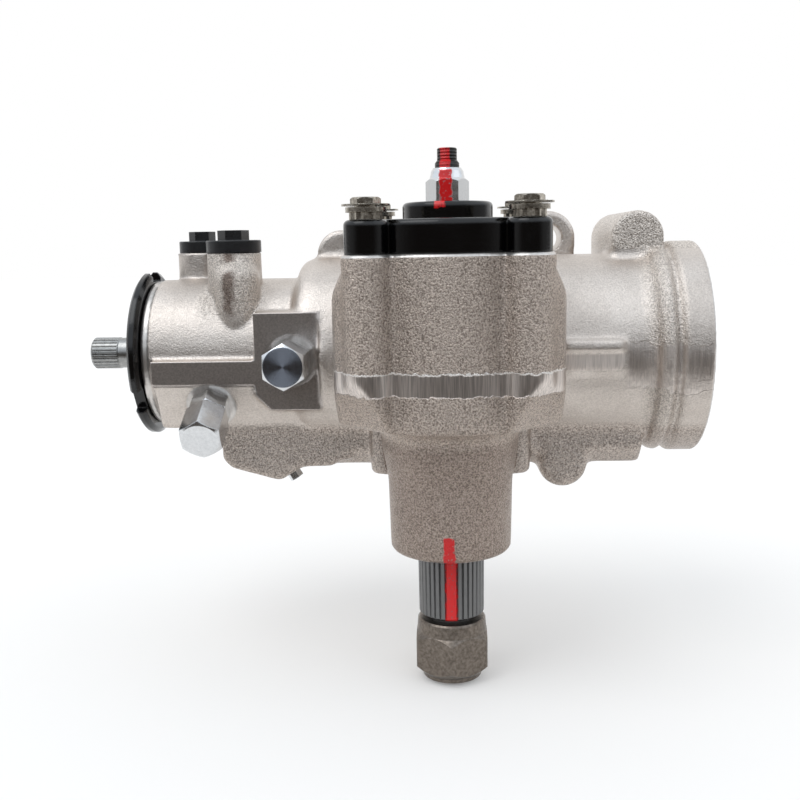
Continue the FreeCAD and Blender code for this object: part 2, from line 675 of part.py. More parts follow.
def gear_housing():
    base, direction = bleed_frame()
    bleed_hole = Part.makeCylinder(BLEED_SHANK_R + SEAT_GAP, BLEED_SHANK_L + 1, base, direction * -1)
    bolt_holes = at_cover_bolts(
        cyl_z(COVER_BOLT_R + SEAT_GAP, HOUSING_TOP_Z - COVER_BOLT_DEPTH - COVER_BOLT_RUNOUT,
              HOUSING_TOP_Z + 1))
    cutters = [sector_cavity(), worm_cavity(), bleed_hole] + port_holes() + fitting_holes() + lug_holes()
    shape = housing_outside()
    for cutter in cutters + bolt_holes:
        shape = shape.cut(cutter)
    return shape.removeSplitter()


# Side cover, its seal and fasteners

def side_cover():
    plate = cover_outline_solid(0, HOUSING_TOP_Z, COVER_TOP_Z)
    plate = filleted(plate, COVER_EDGE_R, lambda e: e.BoundBox.ZMin > COVER_TOP_Z - 0.01)
    tower = cyl_z(TOWER_R, COVER_TOP_Z - 1, TOWER_TOP_Z)
    tower = filleted(tower, TOWER_EDGE_R, lambda e: e.BoundBox.ZMin > TOWER_TOP_Z - 0.01)
    pilot = cyl_z(CHAMBER_R - SEAT_GAP, HOUSING_TOP_Z - 5, HOUSING_TOP_Z + 1)
    boss = cyl_z(COVER_PILOT_R, COVER_PILOT_Z, HOUSING_TOP_Z)
    shape = fused([plate, tower, pilot, boss])
    groove_r = CHAMBER_R + 1.2
    holes = [
        cyl_z(BUSHING_R, COVER_PILOT_Z - 1, SHAFT_TOP_Z + 1.5),
        cyl_z(ADJUSTER_R + SEAT_GAP, SHAFT_TOP_Z, TOWER_TOP_Z + 1),
        ring_z(groove_r + 2 * SEAL_SECTION_R + 0.4, groove_r, HOUSING_TOP_Z - 1, HOUSING_TOP_Z + 2.3),
    ]
    for hole in holes + at_cover_bolts(cyl_z(COVER_BOLT_R + 0.4, HOUSING_TOP_Z - 1, COVER_TOP_Z + 1)):
        shape = shape.cut(hole)
    return shape


def side_cover_seal():
    inner = CHAMBER_R + 1.4
    return ring_z(inner + 2 * SEAL_SECTION_R, inner, HOUSING_TOP_Z, HOUSING_TOP_Z + 2.2)


def twelve_point(radius, z0, z1):
    across_flats = 2 * radius * math.cos(math.pi / 6)
    return fused([hexagon_z(across_flats, z0, z1, turn) for turn in (0, 30)])


def cover_bolt_collar():
    top = COVER_TOP_Z + BOLT_COLLAR_H
    collar = twelve_point(BOLT_COLLAR_R, COVER_TOP_Z, top)
    return collar.cut(cyl_z(COVER_BOLT_R + SEAT_GAP, COVER_TOP_Z, top))


def cover_bolt_washer():
    bottom = COVER_TOP_Z + BOLT_COLLAR_H
    return ring_z(BOLT_WASHER_R, COVER_BOLT_R + SEAT_GAP, bottom, bottom + BOLT_WASHER_T)


def cover_bolt_clip():
    """Thin spring clip, open at one side."""
    bottom = COVER_TOP_Z + BOLT_COLLAR_H + BOLT_WASHER_T + BOLT_NECK_H
    clip = ring_z(BOLT_CLIP_R, COVER_BOLT_R + SEAT_GAP, bottom, bottom + BOLT_CLIP_T)
    slot = box(0, 2 * BOLT_CLIP_R, -BOLT_CLIP_GAP / 2, BOLT_CLIP_GAP / 2, bottom - 1, bottom + 2)
    slot.rotate(Vector(0, 0, 0), Z_AXIS, -40)
    return clip.cut(slot)


def cover_bolt():
    bottom = COVER_TOP_Z + BOLT_COLLAR_H + BOLT_WASHER_T
    head_z = bottom + BOLT_NECK_H + BOLT_CLIP_T
    top = head_z + BOLT_HEAD_H
    head = hexagon_z(BOLT_HEAD_AF, head_z, top, BOLT_HEAD_TURN)
    dome_r = BOLT_HEAD_AF / 2 / math.cos(math.pi / 6)
    dome = revolved_z([
        (0, head_z), (dome_r, head_z), (dome_r, top - 0.7), (BOLT_HEAD_AF / 2, top), (0, top)])
    shank = cyl_z(COVER_BOLT_R, HOUSING_TOP_Z - COVER_BOLT_DEPTH, head_z)
    return fused([head.common(dome), shank])


# Lash adjuster

def adjuster_screw():
    head_z = adjuster_head_z()
    tip_z = ADJUSTER_TOP_Z - ADJUSTER_TIP_H
    profile = [
        (0, head_z), (ADJUSTER_HEAD_R, head_z), (ADJUSTER_HEAD_R, head_z + ADJUSTER_HEAD_T),
        (ADJUSTER_R, head_z + ADJUSTER_HEAD_T), (ADJUSTER_R, tip_z - 1.4), (ADJUSTER_TIP_R, tip_z),
        (ADJUSTER_TIP_R, ADJUSTER_TOP_Z - 0.4), (ADJUSTER_TIP_R - 0.4, ADJUSTER_TOP_Z), (0, ADJUSTER_TOP_Z),
    ]
    socket = hexagon_z(ADJUSTER_SOCKET_AF, ADJUSTER_TOP_Z - 5, ADJUSTER_TOP_Z + 1)
    return revolved_z(profile).cut(socket)


def adjuster_head_z():
    return SHAFT_TOP_Z - 7.6


def adjuster_retainer():
    bottom = adjuster_head_z() + ADJUSTER_HEAD_T + RUN_GAP
    return ring_z(ADJUSTER_HEAD_R + 0.2, ADJUSTER_R + RUN_GAP, bottom, SHAFT_TOP_Z - 0.4)


def adjuster_lock_nut():
    hex_top = TOWER_TOP_Z + LOCK_NUT_HEX_H
    top = hex_top + LOCK_NUT_DOME_H
    corner = LOCK_NUT_AF / 2 / math.cos(math.pi / 6)
    dome = revolved_z([
        (0, TOWER_TOP_Z), (corner - 1, TOWER_TOP_Z), (corner, TOWER_TOP_Z + 0.6), (corner, hex_top - 1.5),
        (LOCK_NUT_AF / 2 - 0.5, hex_top), (LOCK_NUT_AF / 2 - 0.9, hex_top + 1.6),
        (LOCK_NUT_DOME_R + 0.9, hex_top + 3.0), (LOCK_NUT_DOME_R, top), (0, top),
    ])
    shape = hexagon_z(LOCK_NUT_AF, TOWER_TOP_Z, top).common(dome)
    return shape.cut(cyl_z(ADJUSTER_R + SEAT_GAP, TOWER_TOP_Z - 1, top + 1))


# Sector shaft with its teeth and output spline

def involute_point(radius, half_angle, side):
    """Point of a flank at a radius, for a tooth on +Y whose half thickness angle is at the pitch circle."""
    alpha = math.acos(min(1.0, BASE_R / radius))
    at_pitch = math.radians(PRESSURE_ANGLE)
    turn = half_angle + (math.tan(at_pitch) - at_pitch) - (math.tan(alpha) - alpha)
    return Vector(side * radius * math.sin(turn), radius * math.cos(turn), 0)


def sector_tooth():
    half_angle = math.pi / 2 / SECTOR_TEETH_PER_TURN - TOOTH_BACKLASH / 2 / PITCH_R
    radii = [BASE_R + (TIP_R - BASE_R) * i / 4 for i in range(5)]
    edges = []
    flanks = {}
    for side in (-1, 1):
        points = [involute_point(r, half_angle, side) for r in radii]
        curve = Part.BSplineCurve()
        curve.interpolate(points)
        flanks[side] = points
        edges.append(curve.toShape())
    tip = Part.Arc(flanks[-1][-1], Vector(0, TIP_R, 0), flanks[1][-1]).toShape()
    scale = (ROOT_R - 2) / BASE_R
    low_left = flanks[-1][0] * scale
    low_right = flanks[1][0] * scale
    sides = [
        Part.makeLine(low_left, flanks[-1][0]), edges[0], tip, edges[1],
        Part.makeLine(flanks[1][0], low_right), Part.makeLine(low_right, low_left),
    ]
    outline = Part.Wire(Part.__sortEdges__(sides))
    tooth = Part.Face(outline).extrude(Vector(0, 0, 2 * SECTOR_HALF_WIDTH))
    tooth.translate(Vector(0, 0, -SECTOR_HALF_WIDTH))
    return tooth


def sector_gear():
    pitch_angle = 360 / SECTOR_TEETH_PER_TURN
    teeth = []
    for index in range(SECTOR_TEETH):
        tooth = sector_tooth()
        tooth.rotate(Vector(0, 0, 0), Z_AXIS, (index - (SECTOR_TEETH - 1) / 2) * pitch_angle)
        teeth.append(tooth)
    hub = cyl_z(ROOT_R, -SECTOR_HALF_WIDTH, SECTOR_HALF_WIDTH)
    front = box(-ROOT_R, ROOT_R, -JOURNAL_R - 1, ROOT_R, -SECTOR_HALF_WIDTH, SECTOR_HALF_WIDTH)
    return fused([hub.common(front)] + teeth)


def spline_grooves(crest_r, depth, count, z0, z1, skipped):
    """V grooves between spline teeth, all round except at the blind positions."""
    half = math.pi * crest_r / count * 0.62
    points = [Vector(crest_r - depth, 0, z0), Vector(crest_r + 1, -half * 1.6, z0), Vector(crest_r + 1, half * 1.6, z0)]
    groove = prism(points, Vector(0, 0, z1 - z0))
    grooves = []
    for index in range(count):
        if index in skipped:
            continue
        copy = groove.copy()
        copy.rotate(Vector(0, 0, 0), Z_AXIS, 360 * index / count)
        grooves.append(copy)
    return grooves


def sector_shaft():
    spline_top = BOSS_BOTTOM_Z + 6
    profile = [
        (0, SHAFT_TOP_Z), (JOURNAL_R - 1, SHAFT_TOP_Z), (JOURNAL_R, SHAFT_TOP_Z - 1), (JOURNAL_R, spline_top + 3),
        (SPLINE_TOP_R, spline_top), (SPLINE_BOTTOM_R, SPLINE_END_Z + 1), (SPLINE_BOTTOM_R - 1.2, SPLINE_END_Z),
        (THREAD_R, SPLINE_END_Z), (THREAD_R, SHAFT_END_Z + 1.2), (THREAD_R - 1.2, SHAFT_END_Z), (0, SHAFT_END_Z),
    ]
    shaft = fused([revolved_z(profile), sector_gear()])
    blind = SPLINE_COUNT // SPLINE_BLANKS
    skipped = [blind * i for i in range(SPLINE_BLANKS)]
    grooves = spline_grooves(SPLINE_TOP_R, SPLINE_DEPTH, SPLINE_COUNT, SPLINE_END_Z - 1, spline_top + 1, skipped)
    cutter = Part.makeCompound(grooves)
    keep = ring_z(SPLINE_TOP_R + 3, THREAD_R + 0.5, SPLINE_END_Z - 0.5, spline_top + 1)
    shaft = shaft.cut(cutter.common(keep))
    pocket = cyl_z(ADJUSTER_HEAD_R + 0.3, adjuster_head_z() - RUN_GAP, SHAFT_TOP_Z + 1)
    return shaft.cut(pocket)


def pitman_nut():
    profile = [
        (0, NUT_TOP_Z), (NUT_COLLAR_R - 0.8, NUT_TOP_Z), (NUT_COLLAR_R, NUT_TOP_Z - 0.8),
        (NUT_COLLAR_R + 0.5, NUT_TOP_Z - NUT_COLLAR_H), (NUT_AF / 2 + 2.2, NUT_TOP_Z - NUT_COLLAR_H - 2.6),
        (NUT_AF / 2 + 2.2, NUT_BOTTOM_Z + NUT_FOOT_H + 4.4), (NUT_FOOT_R + 0.4, NUT_BOTTOM_Z + NUT_FOOT_H),
        (NUT_FOOT_R, NUT_BOTTOM_Z), (0, NUT_BOTTOM_Z),
    ]
    turned = revolved_z(profile)
    shape = turned.common(hexagon_z(NUT_AF, NUT_BOTTOM_Z, NUT_TOP_Z, 30))
    return shape.cut(cyl_z(THREAD_R + SEAT_GAP, NUT_BOTTOM_Z - 1, NUT_TOP_Z + 1))


# Sector shaft bearings and seals

def sector_upper_bushing():
    return ring_z(BUSHING_R, BUSHING_BORE_R, COVER_PILOT_Z + 0.5, HOUSING_TOP_Z + 4)


def sector_bearing_cup():
    bottom = LOWER_BEARING_TOP_Z - LOWER_BEARING_H
    inner = LOWER_BORE_R - BEARING_SHELL
    cup = ring_z(LOWER_BORE_R, JOURNAL_R + 2 * RUN_GAP, bottom, LOWER_BEARING_TOP_Z)
    return cup.cut(ring_z(inner, JOURNAL_R + RUN_GAP, bottom + BEARING_SHELL, LOWER_BEARING_TOP_Z - BEARING_SHELL))


def sector_bearing_needles():
    bottom = LOWER_BEARING_TOP_Z - LOWER_BEARING_H + BEARING_SHELL
    top = LOWER_BEARING_TOP_Z - BEARING_SHELL
    needles = []
    for index in range(NEEDLE_COUNT):
        angle = 2 * math.pi * index / NEEDLE_COUNT
        x = NEEDLE_CIRCLE_R * math.cos(angle)
        y = NEEDLE_CIRCLE_R * math.sin(angle)
        needles.append(cyl_z(NEEDLE_R, bottom, top, x, y))
    return needles


def seal_tops():
    first = LOWER_BEARING_TOP_Z - LOWER_BEARING_H - SEAL_STEP
    second = first - SEAL_H - BACKUP_T - SEAL_STEP
    return first, second


def circlip_z():
    return seal_tops()[1] - SEAL_H - BACKUP_T - SEAL_STEP - CIRCLIP_T


def lip_seal(top):
    """Shaft seal of U section."""
    bottom = top - SEAL_H
    outer = LOWER_BORE_R
    inner = JOURNAL_R + RUN_GAP
    ring = ring_z(outer, inner, bottom, top)
    hollow = ring_z(outer - 1.2, inner + 1.0, bottom - 1, top - 2.0)
    return ring.cut(hollow)


def backup_washer(top):
    return ring_z(LOWER_BORE_R - RUN_GAP, JOURNAL_R + RUN_GAP, top - BACKUP_T, top)


def sector_circlip():
    bottom = circlip_z()
    clip = ring_z(LOWER_BORE_R + CIRCLIP_BITE - RUN_GAP, LOWER_BORE_R - 2, bottom, bottom + CIRCLIP_T)
    opening = box(-6, 6, -LOWER_BORE_R - 4, 0, bottom - 1, bottom + CIRCLIP_T + 1)
    return clip.cut(opening)


# Rack piston with worm and balls

def rack_space(x):
    """One space between rack teeth, as a straight-sided prism along Z."""
    slope = math.tan(math.radians(PRESSURE_ANGLE))
    half_pitch_line = RACK_PITCH / 4
    top_y = PITCH_R - MODULE - 8
    floor_y = PITCH_R + MODULE + TIP_CLEARANCE
    top_half = half_pitch_line + (PITCH_R - top_y) * slope
    floor_half = half_pitch_line - (floor_y - PITCH_R) * slope
    z0 = -PISTON_R
    points = [
        Vector(x - top_half, top_y, z0), Vector(x - floor_half, floor_y, z0),
        Vector(x + floor_half, floor_y, z0), Vector(x + top_half, top_y, z0),
    ]
    return prism(points, Vector(0, 0, 2 * PISTON_R))


def rack_piston():
    shape = revolved_x([
        (PISTON_LEFT_X, 0), (PISTON_LEFT_X, PISTON_R - 2), (PISTON_LEFT_X + 2, PISTON_R),
        (PISTON_RIGHT_X - 2, PISTON_R), (PISTON_RIGHT_X, PISTON_R - 2), (PISTON_RIGHT_X, 0)])
    tip_line_y = PITCH_R - MODULE
    flat = box(-RACK_FLAT_HALF, RACK_FLAT_HALF, tip_line_y - 20, tip_line_y, -PISTON_R, PISTON_R)
    spaces = [rack_space((i - (SECTOR_TEETH - 1) / 2) * RACK_PITCH) for i in range(SECTOR_TEETH)]
    cutters = [
        flat, cyl_x(NUT_BORE_R, PISTON_LEFT_X - 1, PISTON_PLUG_X),
        cyl_x(PISTON_PLUG_R, PISTON_PLUG_X, PISTON_RIGHT_X + 1),
        ring_x(PISTON_R + 1, PISTON_R - PISTON_RING_DEPTH, PISTON_RING_X, PISTON_RING_X + PISTON_RING_W),
        guide_pocket(),
    ] + spaces + guide_holes()
    for cutter in cutters:
        shape = shape.cut(cutter)
    return shape.removeSplitter()


def piston_end_plug():
    plug = cyl_x(PISTON_PLUG_R - SEAT_GAP, PISTON_PLUG_X, PISTON_PLUG_X + PISTON_PLUG_T)
    socket = along(hexagon_z(12.0, 0, 6), Vector(PISTON_PLUG_X + PISTON_PLUG_T + 1, WORM_Y, 0), X_AXIS * -1)
    return plug.cut(socket)


def piston_ring():
    inner = PISTON_R - PISTON_RING_DEPTH
    return ring_x(PISTON_R, inner + 0.1, PISTON_RING_X + 0.1, PISTON_RING_X + PISTON_RING_W - 0.1)


def helix_point(x, radius):
    angle = 2 * math.pi * x / WORM_LEAD
    return Vector(x, WORM_Y + radius * math.cos(angle), radius * math.sin(angle))


def guide_floor_y():
    return WORM_Y + NUT_BORE_R + 3.5


def guide_pocket():
    half_x = GUIDE_SPAN / 2 + GUIDE_R + 1.5
    half_z = CLAMP_HALF + 2
    return box(-half_x, half_x, guide_floor_y(), WORM_Y + PISTON_R + 5, -half_z, half_z)


def guide_holes():
    half = GUIDE_SPAN / 2
    return [cyl_y(GUIDE_R + SEAT_GAP, WORM_Y, WORM_Y + PISTON_R, x, 0) for x in (-half, half)]


def guide_path():
    """U-shaped run from one end of the ball track, over the nut, to the other."""
    half = GUIDE_SPAN / 2
    foot = WORM_Y + NUT_BORE_R + 0.4
    top = foot + GUIDE_RISE
    bend = GUIDE_BEND_R
    diagonal = bend * (1 - math.sqrt(0.5))
    lines = [
        Part.makeLine(Vector(-half, foot, 0), Vector(-half, top - bend, 0)),
        Part.Arc(Vector(-half, top - bend, 0), Vector(-half + diagonal, top - diagonal, 0),
                 Vector(-half + bend, top, 0)).toShape(),
        Part.makeLine(Vector(-half + bend, top, 0), Vector(half - bend, top, 0)),
        Part.Arc(Vector(half - bend, top, 0), Vector(half - diagonal, top - diagonal, 0),
                 Vector(half, top - bend, 0)).toShape(),
        Part.makeLine(Vector(half, top - bend, 0), Vector(half, foot, 0)),
    ]
    return Part.Wire(lines), Vector(-half, foot, 0)


def ball_return_guide():
    path, start = guide_path()
    tubes = []
    for radius in (GUIDE_R, GUIDE_R - GUIDE_WALL):
        section = Part.Wire(Part.Circle(start, Y_AXIS, radius).toShape())
        tubes.append(path.makePipeShell([section], True, False))
    return tubes[0].cut(tubes[1])


def clamp_y():
    return WORM_Y + NUT_BORE_R + 0.4 + GUIDE_RISE + GUIDE_R + SEAT_GAP


def guide_clamp():
    y = clamp_y()
    bar = box(-4, 4, y, y + CLAMP_T, -CLAMP_HALF, CLAMP_HALF)
    legs = []
    for side in (-1, 1):
        z = side * (CLAMP_HALF - 1.6)
        legs.append(box(-4, 4, guide_floor_y(), y + 0.1, min(z, z + side * 1.6), max(z, z + side * 1.6)))
    return fused([bar] + legs).cut(cyl_y(CLAMP_SCREW_R, y - 1, y + CLAMP_T + 1, 0, 0))


def worm():
    """Worm with its thrust flange, and the ball track as a helical groove."""
    flange_right = WORM_FLANGE_LEFT_X + WORM_FLANGE_T
    neck_r = THRUST_BORE_R - RUN_GAP
    shape = revolved_x([
        (WORM_FLANGE_LEFT_X, 0), (WORM_FLANGE_LEFT_X, WORM_FLANGE_R), (flange_right, WORM_FLANGE_R),
        (flange_right, neck_r), (TUBE_LEFT_X + 6, neck_r), (TUBE_LEFT_X + 7, WORM_R),
        (WORM_RIGHT_X - 1.5, WORM_R), (WORM_RIGHT_X, WORM_R - 1.5), (WORM_RIGHT_X, 0)])
    bar_hole = cyl_x(TORSION_HEAD_R + SEAT_GAP, WORM_FLANGE_LEFT_X - 1, torsion_right_x() + 0.5)
    return shape.cut(ball_track()).cut(bar_hole)


def ball_track():
    reach = BALL_TURNS * WORM_LEAD / 2 + RACK_TRAVEL + BALL_R
    helix = Part.makeHelix(WORM_LEAD, 2 * reach, BALL_CIRCLE_R)
    wire = Part.Wire(helix.Edges)
    section = Part.Wire(Part.Circle(Vector(BALL_CIRCLE_R, 0, 0), Y_AXIS, BALL_R + BALL_GAP).toShape())
    groove = wire.makePipeShell([section], True, True)
    start_turn = math.degrees(2 * math.pi * -reach / WORM_LEAD)
    groove.rotate(Vector(0, 0, 0), Z_AXIS, start_turn)
    groove.Placement = FreeCAD.Placement(
        Vector(-reach, WORM_Y, 0), FreeCAD.Rotation(Y_AXIS, Z_AXIS, X_AXIS, "ZXY")).multiply(groove.Placement)
    return groove


def recirculating_balls():
    count = int(BALL_TURNS * BALLS_PER_TURN)
    balls = []
    for index in range(count):
        x = ((index + 0.5) / count - 0.5) * BALL_TURNS * WORM_LEAD
        balls.append(Part.makeSphere(BALL_R, helix_point(x, BALL_CIRCLE_R)))
    return balls


# Control valve, thrust bearings and input shaft

def torsion_right_x():
    return WORM_FLANGE_LEFT_X + 34.0


def torsion_bar():
    left = STUB_LEFT_X + 2.0
    right = torsion_right_x()
    return revolved_x([
        (left, 0), (left, TORSION_HEAD_R), (left + TORSION_HEAD_L, TORSION_HEAD_R),
        (left + TORSION_HEAD_L + 2, TORSION_BAR_R), (right - TORSION_HEAD_L - 2, TORSION_BAR_R),
        (right - TORSION_HEAD_L, TORSION_HEAD_R), (right, TORSION_HEAD_R), (right, 0)])


def valve_body():
    left = VALVE_BODY_LEFT_X
    right = WORM_FLANGE_LEFT_X
    shape = ring_x(VALVE_BODY_R, VALVE_SPOOL_R + RUN_GAP, left, right)
    step = VALVE_BODY_LENGTH / (VALVE_GROOVES + 1)
    for index in range(VALVE_GROOVES):
        middle = left + step * (index + 1)
        oil = ring_x(VALVE_BODY_R + 1, VALVE_BODY_R - VALVE_GROOVE_DEPTH, middle - VALVE_GROOVE_W / 2,
                     middle + VALVE_GROOVE_W / 2)
        shape = shape.cut(oil)
        shape = shape.cut(cyl_y(1.6, WORM_Y - VALVE_BODY_R - 1, WORM_Y + VALVE_BODY_R + 1, middle, 0))
    for x in valve_ring_places():
        shape = shape.cut(ring_x(VALVE_BODY_R + 1, VALVE_BODY_R - VALVE_RING_DEPTH, x, x + VALVE_RING_W))
    return shape


def valve_ring_places():
    step = VALVE_BODY_LENGTH / (VALVE_GROOVES + 1)
    return [VALVE_BODY_LEFT_X + step * (i + 0.5) - VALVE_RING_W / 2 for i in range(VALVE_GROOVES + 1)]


def valve_rings():
    rings = []
    for x in valve_ring_places():
        rings.append(ring_x(VALVE_BODY_R, VALVE_BODY_R - VALVE_RING_DEPTH + 0.1, x + 0.1, x + VALVE_RING_W - 0.1))
    return rings


def valve_spool():
    left = VALVE_BODY_LEFT_X + 1
    right = WORM_FLANGE_LEFT_X - RUN_GAP
    shape = ring_x(VALVE_SPOOL_R, STUB_VALVE_R + SEAT_GAP, left, right)
    slot = box(left + 4, right - 4, WORM_Y + VALVE_SPOOL_R - 1.5, WORM_Y + VALVE_SPOOL_R + 2,
               -SPOOL_SLOT_W / 2, SPOOL_SLOT_W / 2)
    for index in range(SPOOL_SLOTS):
        cutter = slot.copy()
        cutter.rotate(Vector(0, WORM_Y, 0), X_AXIS, 360 * index / SPOOL_SLOTS)
        shape = shape.cut(cutter)
    return shape


def thrust_bearing(start_x, order):
    """Race, cage and race laid from start_x in the direction given by order."""
    widths = (THRUST_RACE_T, THRUST_CAGE_T, THRUST_RACE_T)
    rings = []
    x = start_x
    for width in widths:
        end = x + order * width
        rings.append(ring_x(THRUST_R, THRUST_BORE_R, min(x, end), max(x, end)))
        x = end
    return rings


def stub_shaft():
    right = WORM_FLANGE_LEFT_X - RUN_GAP
    bearing_left, bearing_right = stub_bearing_span()
    neck_x = ADJUSTER_PLUG_LEFT_X + 0.5
    spline_right = STUB_LEFT_X + STUB_SPLINE_LENGTH
    shape = revolved_x([
        (STUB_LEFT_X, 0), (STUB_LEFT_X, STUB_SPLINE_R - STUB_CHAMFER), (STUB_LEFT_X + STUB_CHAMFER, STUB_SPLINE_R),
        (spline_right, STUB_SPLINE_R), (spline_right + 0.6, STUB_NECK_R), (neck_x, STUB_NECK_R),
        (neck_x, STUB_VALVE_R + 0.5), (bearing_left - 1, STUB_VALVE_R + 0.5), (bearing_left - 1, STUB_BEARING_R),
        (bearing_right + 1, STUB_BEARING_R), (bearing_right + 1, STUB_VALVE_R), (right, STUB_VALVE_R), (right, 0)])
    bore = revolved_x([
        (STUB_LEFT_X + 1.0, 0), (STUB_LEFT_X + 1.0, TORSION_HEAD_R + RUN_GAP), (right + 1, TORSION_HEAD_R + RUN_GAP),
        (right + 1, 0)])
    grooves = spline_grooves(STUB_SPLINE_R, STUB_SPLINE_DEPTH, STUB_SPLINE_COUNT, 0, STUB_SPLINE_LENGTH, [])
    cutter = Part.makeCompound(grooves)
    cutter.Placement = FreeCAD.Placement(
        Vector(STUB_LEFT_X, WORM_Y, 0), FreeCAD.Rotation(Y_AXIS, Z_AXIS, X_AXIS, "ZXY"))
    return shape.cut(cutter).cut(bore)


def stub_bearing_span():
    right = ADJUSTER_PLUG_RIGHT_X - 3
    return right - 10, right


def adjuster_plug():
    left, right = ADJUSTER_PLUG_LEFT_X, ADJUSTER_PLUG_RIGHT_X
    bearing_left, bearing_right = stub_bearing_span()
    bearing_r = STUB_BEARING_R + STUB_BEARING_WALL
    shape = revolved_x([
        (left, 0), (left, ADJUSTER_PLUG_R - 1), (left + 1, ADJUSTER_PLUG_R), (right - 1, ADJUSTER_PLUG_R),
        (right, ADJUSTER_PLUG_R - 1), (right, 0)])
    shape = shape.cut(cyl_x(bearing_r, bearing_left, right + 1))
    shape = shape.cut(cyl_x(STUB_BEARING_R + 1, left - 1, right + 1))
    shape = shape.cut(cyl_x(STUB_SEAL_R, left + 2.5, bearing_left - 2))
    shape = shape.cut(cyl_x(STUB_SEAL_R + 0.1, left - 1, left + 4))
    for index in range(4):
        angle = math.radians(45 + 90 * index)
        y = WORM_Y + 24 * math.cos(angle)
        shape = shape.cut(cyl_x(3.2, left - 1, left + 6, y, 24 * math.sin(angle)))
    groove_x = plug_seal_x()
    groove_r = ADJUSTER_PLUG_R - 2 * SEAL_SECTION_R
    return shape.cut(ring_x(ADJUSTER_PLUG_R + 1, groove_r, groove_x, groove_x + 2 * SEAL_SECTION_R + 0.2))


def plug_seal_x():
    return ADJUSTER_PLUG_RIGHT_X - 8


def stub_bearing():
    left, right = stub_bearing_span()
    return ring_x(STUB_BEARING_R + STUB_BEARING_WALL, STUB_BEARING_R + RUN_GAP, left, right)


def stub_seal():
    left = ADJUSTER_PLUG_LEFT_X + 5.2
    right = stub_bearing_span()[0] - 2.2
    inner = STUB_VALVE_R + 0.5 + RUN_GAP
    ring = ring_x(STUB_SEAL_R, inner, left, right)
    return ring.cut(ring_x(STUB_SEAL_R - 1.2, inner + 1.2, left + 2, right + 1))


def stub_dust_seal():
    left = ADJUSTER_PLUG_LEFT_X + 1.2
    neck = max(STUB_NECK_R, STUB_VALVE_R + 0.5) + RUN_GAP
    return ring_x(STUB_SEAL_R, neck, left + 2.0, left + 3.9)


def stub_retaining_ring():
    left = ADJUSTER_PLUG_LEFT_X + 1.2
    return ring_x(STUB_SEAL_R, STUB_BEARING_R, left, left + 1.4)


def adjuster_plug_seal():
    left = plug_seal_x() + 0.1
    inner = ADJUSTER_PLUG_R - 2 * SEAL_SECTION_R + SEAT_GAP
    return ring_x(ADJUSTER_PLUG_R, inner, left, left + 2 * SEAL_SECTION_R)


def adjuster_lock_ring():
    """Notched ring that locks the adjuster plug against the housing's end."""
    right = VALVE_LEFT_X
    left = right - LOCK_RING_T
    inner = ADJUSTER_PLUG_R + SEAT_GAP
    shape = revolved_x([
        (right, inner), (right, LOCK_RING_R - 2.2), (right - LOCK_RING_DISH, LOCK_RING_R),
        (left + LOCK_RING_DISH, LOCK_RING_R), (left + 0.2, LOCK_RING_R - 1.6), (left, LOCK_RING_R - 3.4), (left, inner)])
    for angle in LOCK_RING_NOTCH_ANGLES:
        notch = box(left - 1, right + 1, WORM_Y - LOCK_RING_R - 2, WORM_Y - LOCK_RING_R + LOCK_RING_NOTCH_DEPTH,
                    -LOCK_RING_NOTCH_W / 2, LOCK_RING_NOTCH_W / 2)
        notch.rotate(Vector(0, WORM_Y, 0), X_AXIS, -angle)
        shape = shape.cut(notch)
    return shape


# Plug in the cylinder's open end

def housing_end_plug():
    x0, x1 = END_PLUG_X, END_PLUG_X + END_PLUG_T
    plug = revolved_x([
        (x0, 0), (x0, BORE_R - SEAT_GAP), (x1, BORE_R - SEAT_GAP), (x1, BORE_R - 7), (x1 - 3, BORE_R - 8), (x1 - 3, 0)])
    groove = ring_x(BORE_R + 1, BORE_R - 2 * SEAL_SECTION_R, x0 + 2, x0 + 2 + 2 * SEAL_SECTION_R + 0.2)
    return plug.cut(groove)


def end_plug_seal():
    x0 = END_PLUG_X + 2.1
    inner = BORE_R - 2 * SEAL_SECTION_R + 0.05
    return ring_x(BORE_R - 0.02, inner, x0, x0 + 2 * SEAL_SECTION_R)


def end_plug_clip():
    x0 = END_PLUG_X + END_PLUG_T + SEAT_GAP
    clip = ring_x(BORE_R + END_CLIP_BITE - RUN_GAP, BORE_R - 2.5, x0, x0 + END_CLIP_T)
    return clip.cut(box(x0 - 1, x0 + 4, WORM_Y - 7, WORM_Y + 7, -BORE_R - 6, 0))


# Hose ports

def port_cap(x, y, flange_r, knob_r):
    """Transit cap: a plug with a flange and a six-sided knob."""
    flange_top = PORT_TOP_Z + CAP_FLANGE_T
    stem = cyl_z(PORT_BORE_R - RUN_GAP, PORT_TOP_Z - CAP_STEM_L, PORT_TOP_Z + 1)
    flange = revolved_z([
        (0, PORT_TOP_Z), (flange_r, PORT_TOP_Z), (flange_r, flange_top - 0.4), (flange_r - 0.4, flange_top),
        (0, flange_top)])
    knob = hexagon_z(2 * knob_r * math.cos(math.pi / 6), flange_top - 1, flange_top + CAP_KNOB_T, CAP_KNOB_TURN)
    shape = fused([stem, flange, knob])
    shape.translate(Vector(x, y, 0))
    return shape


def port_seat(x, y):
    """Brass tube seat pressed in the floor of a port."""
    floor = PORT_TOP_Z - PORT_DEPTH
    profile = [
        (PASSAGE_R - 1.4, floor), (PORT_BORE_R - SEAT_GAP, floor), (PORT_BORE_R - SEAT_GAP, floor + 1.5),
        (SEAT_INSERT_R, floor + 2.2), (PASSAGE_R - 0.6, floor + SEAT_INSERT_H), (PASSAGE_R - 1.4, floor + SEAT_INSERT_H)]
    shape = revolved_z(profile)
    shape.translate(Vector(x, y, 0))
    return shape


# Assist fittings

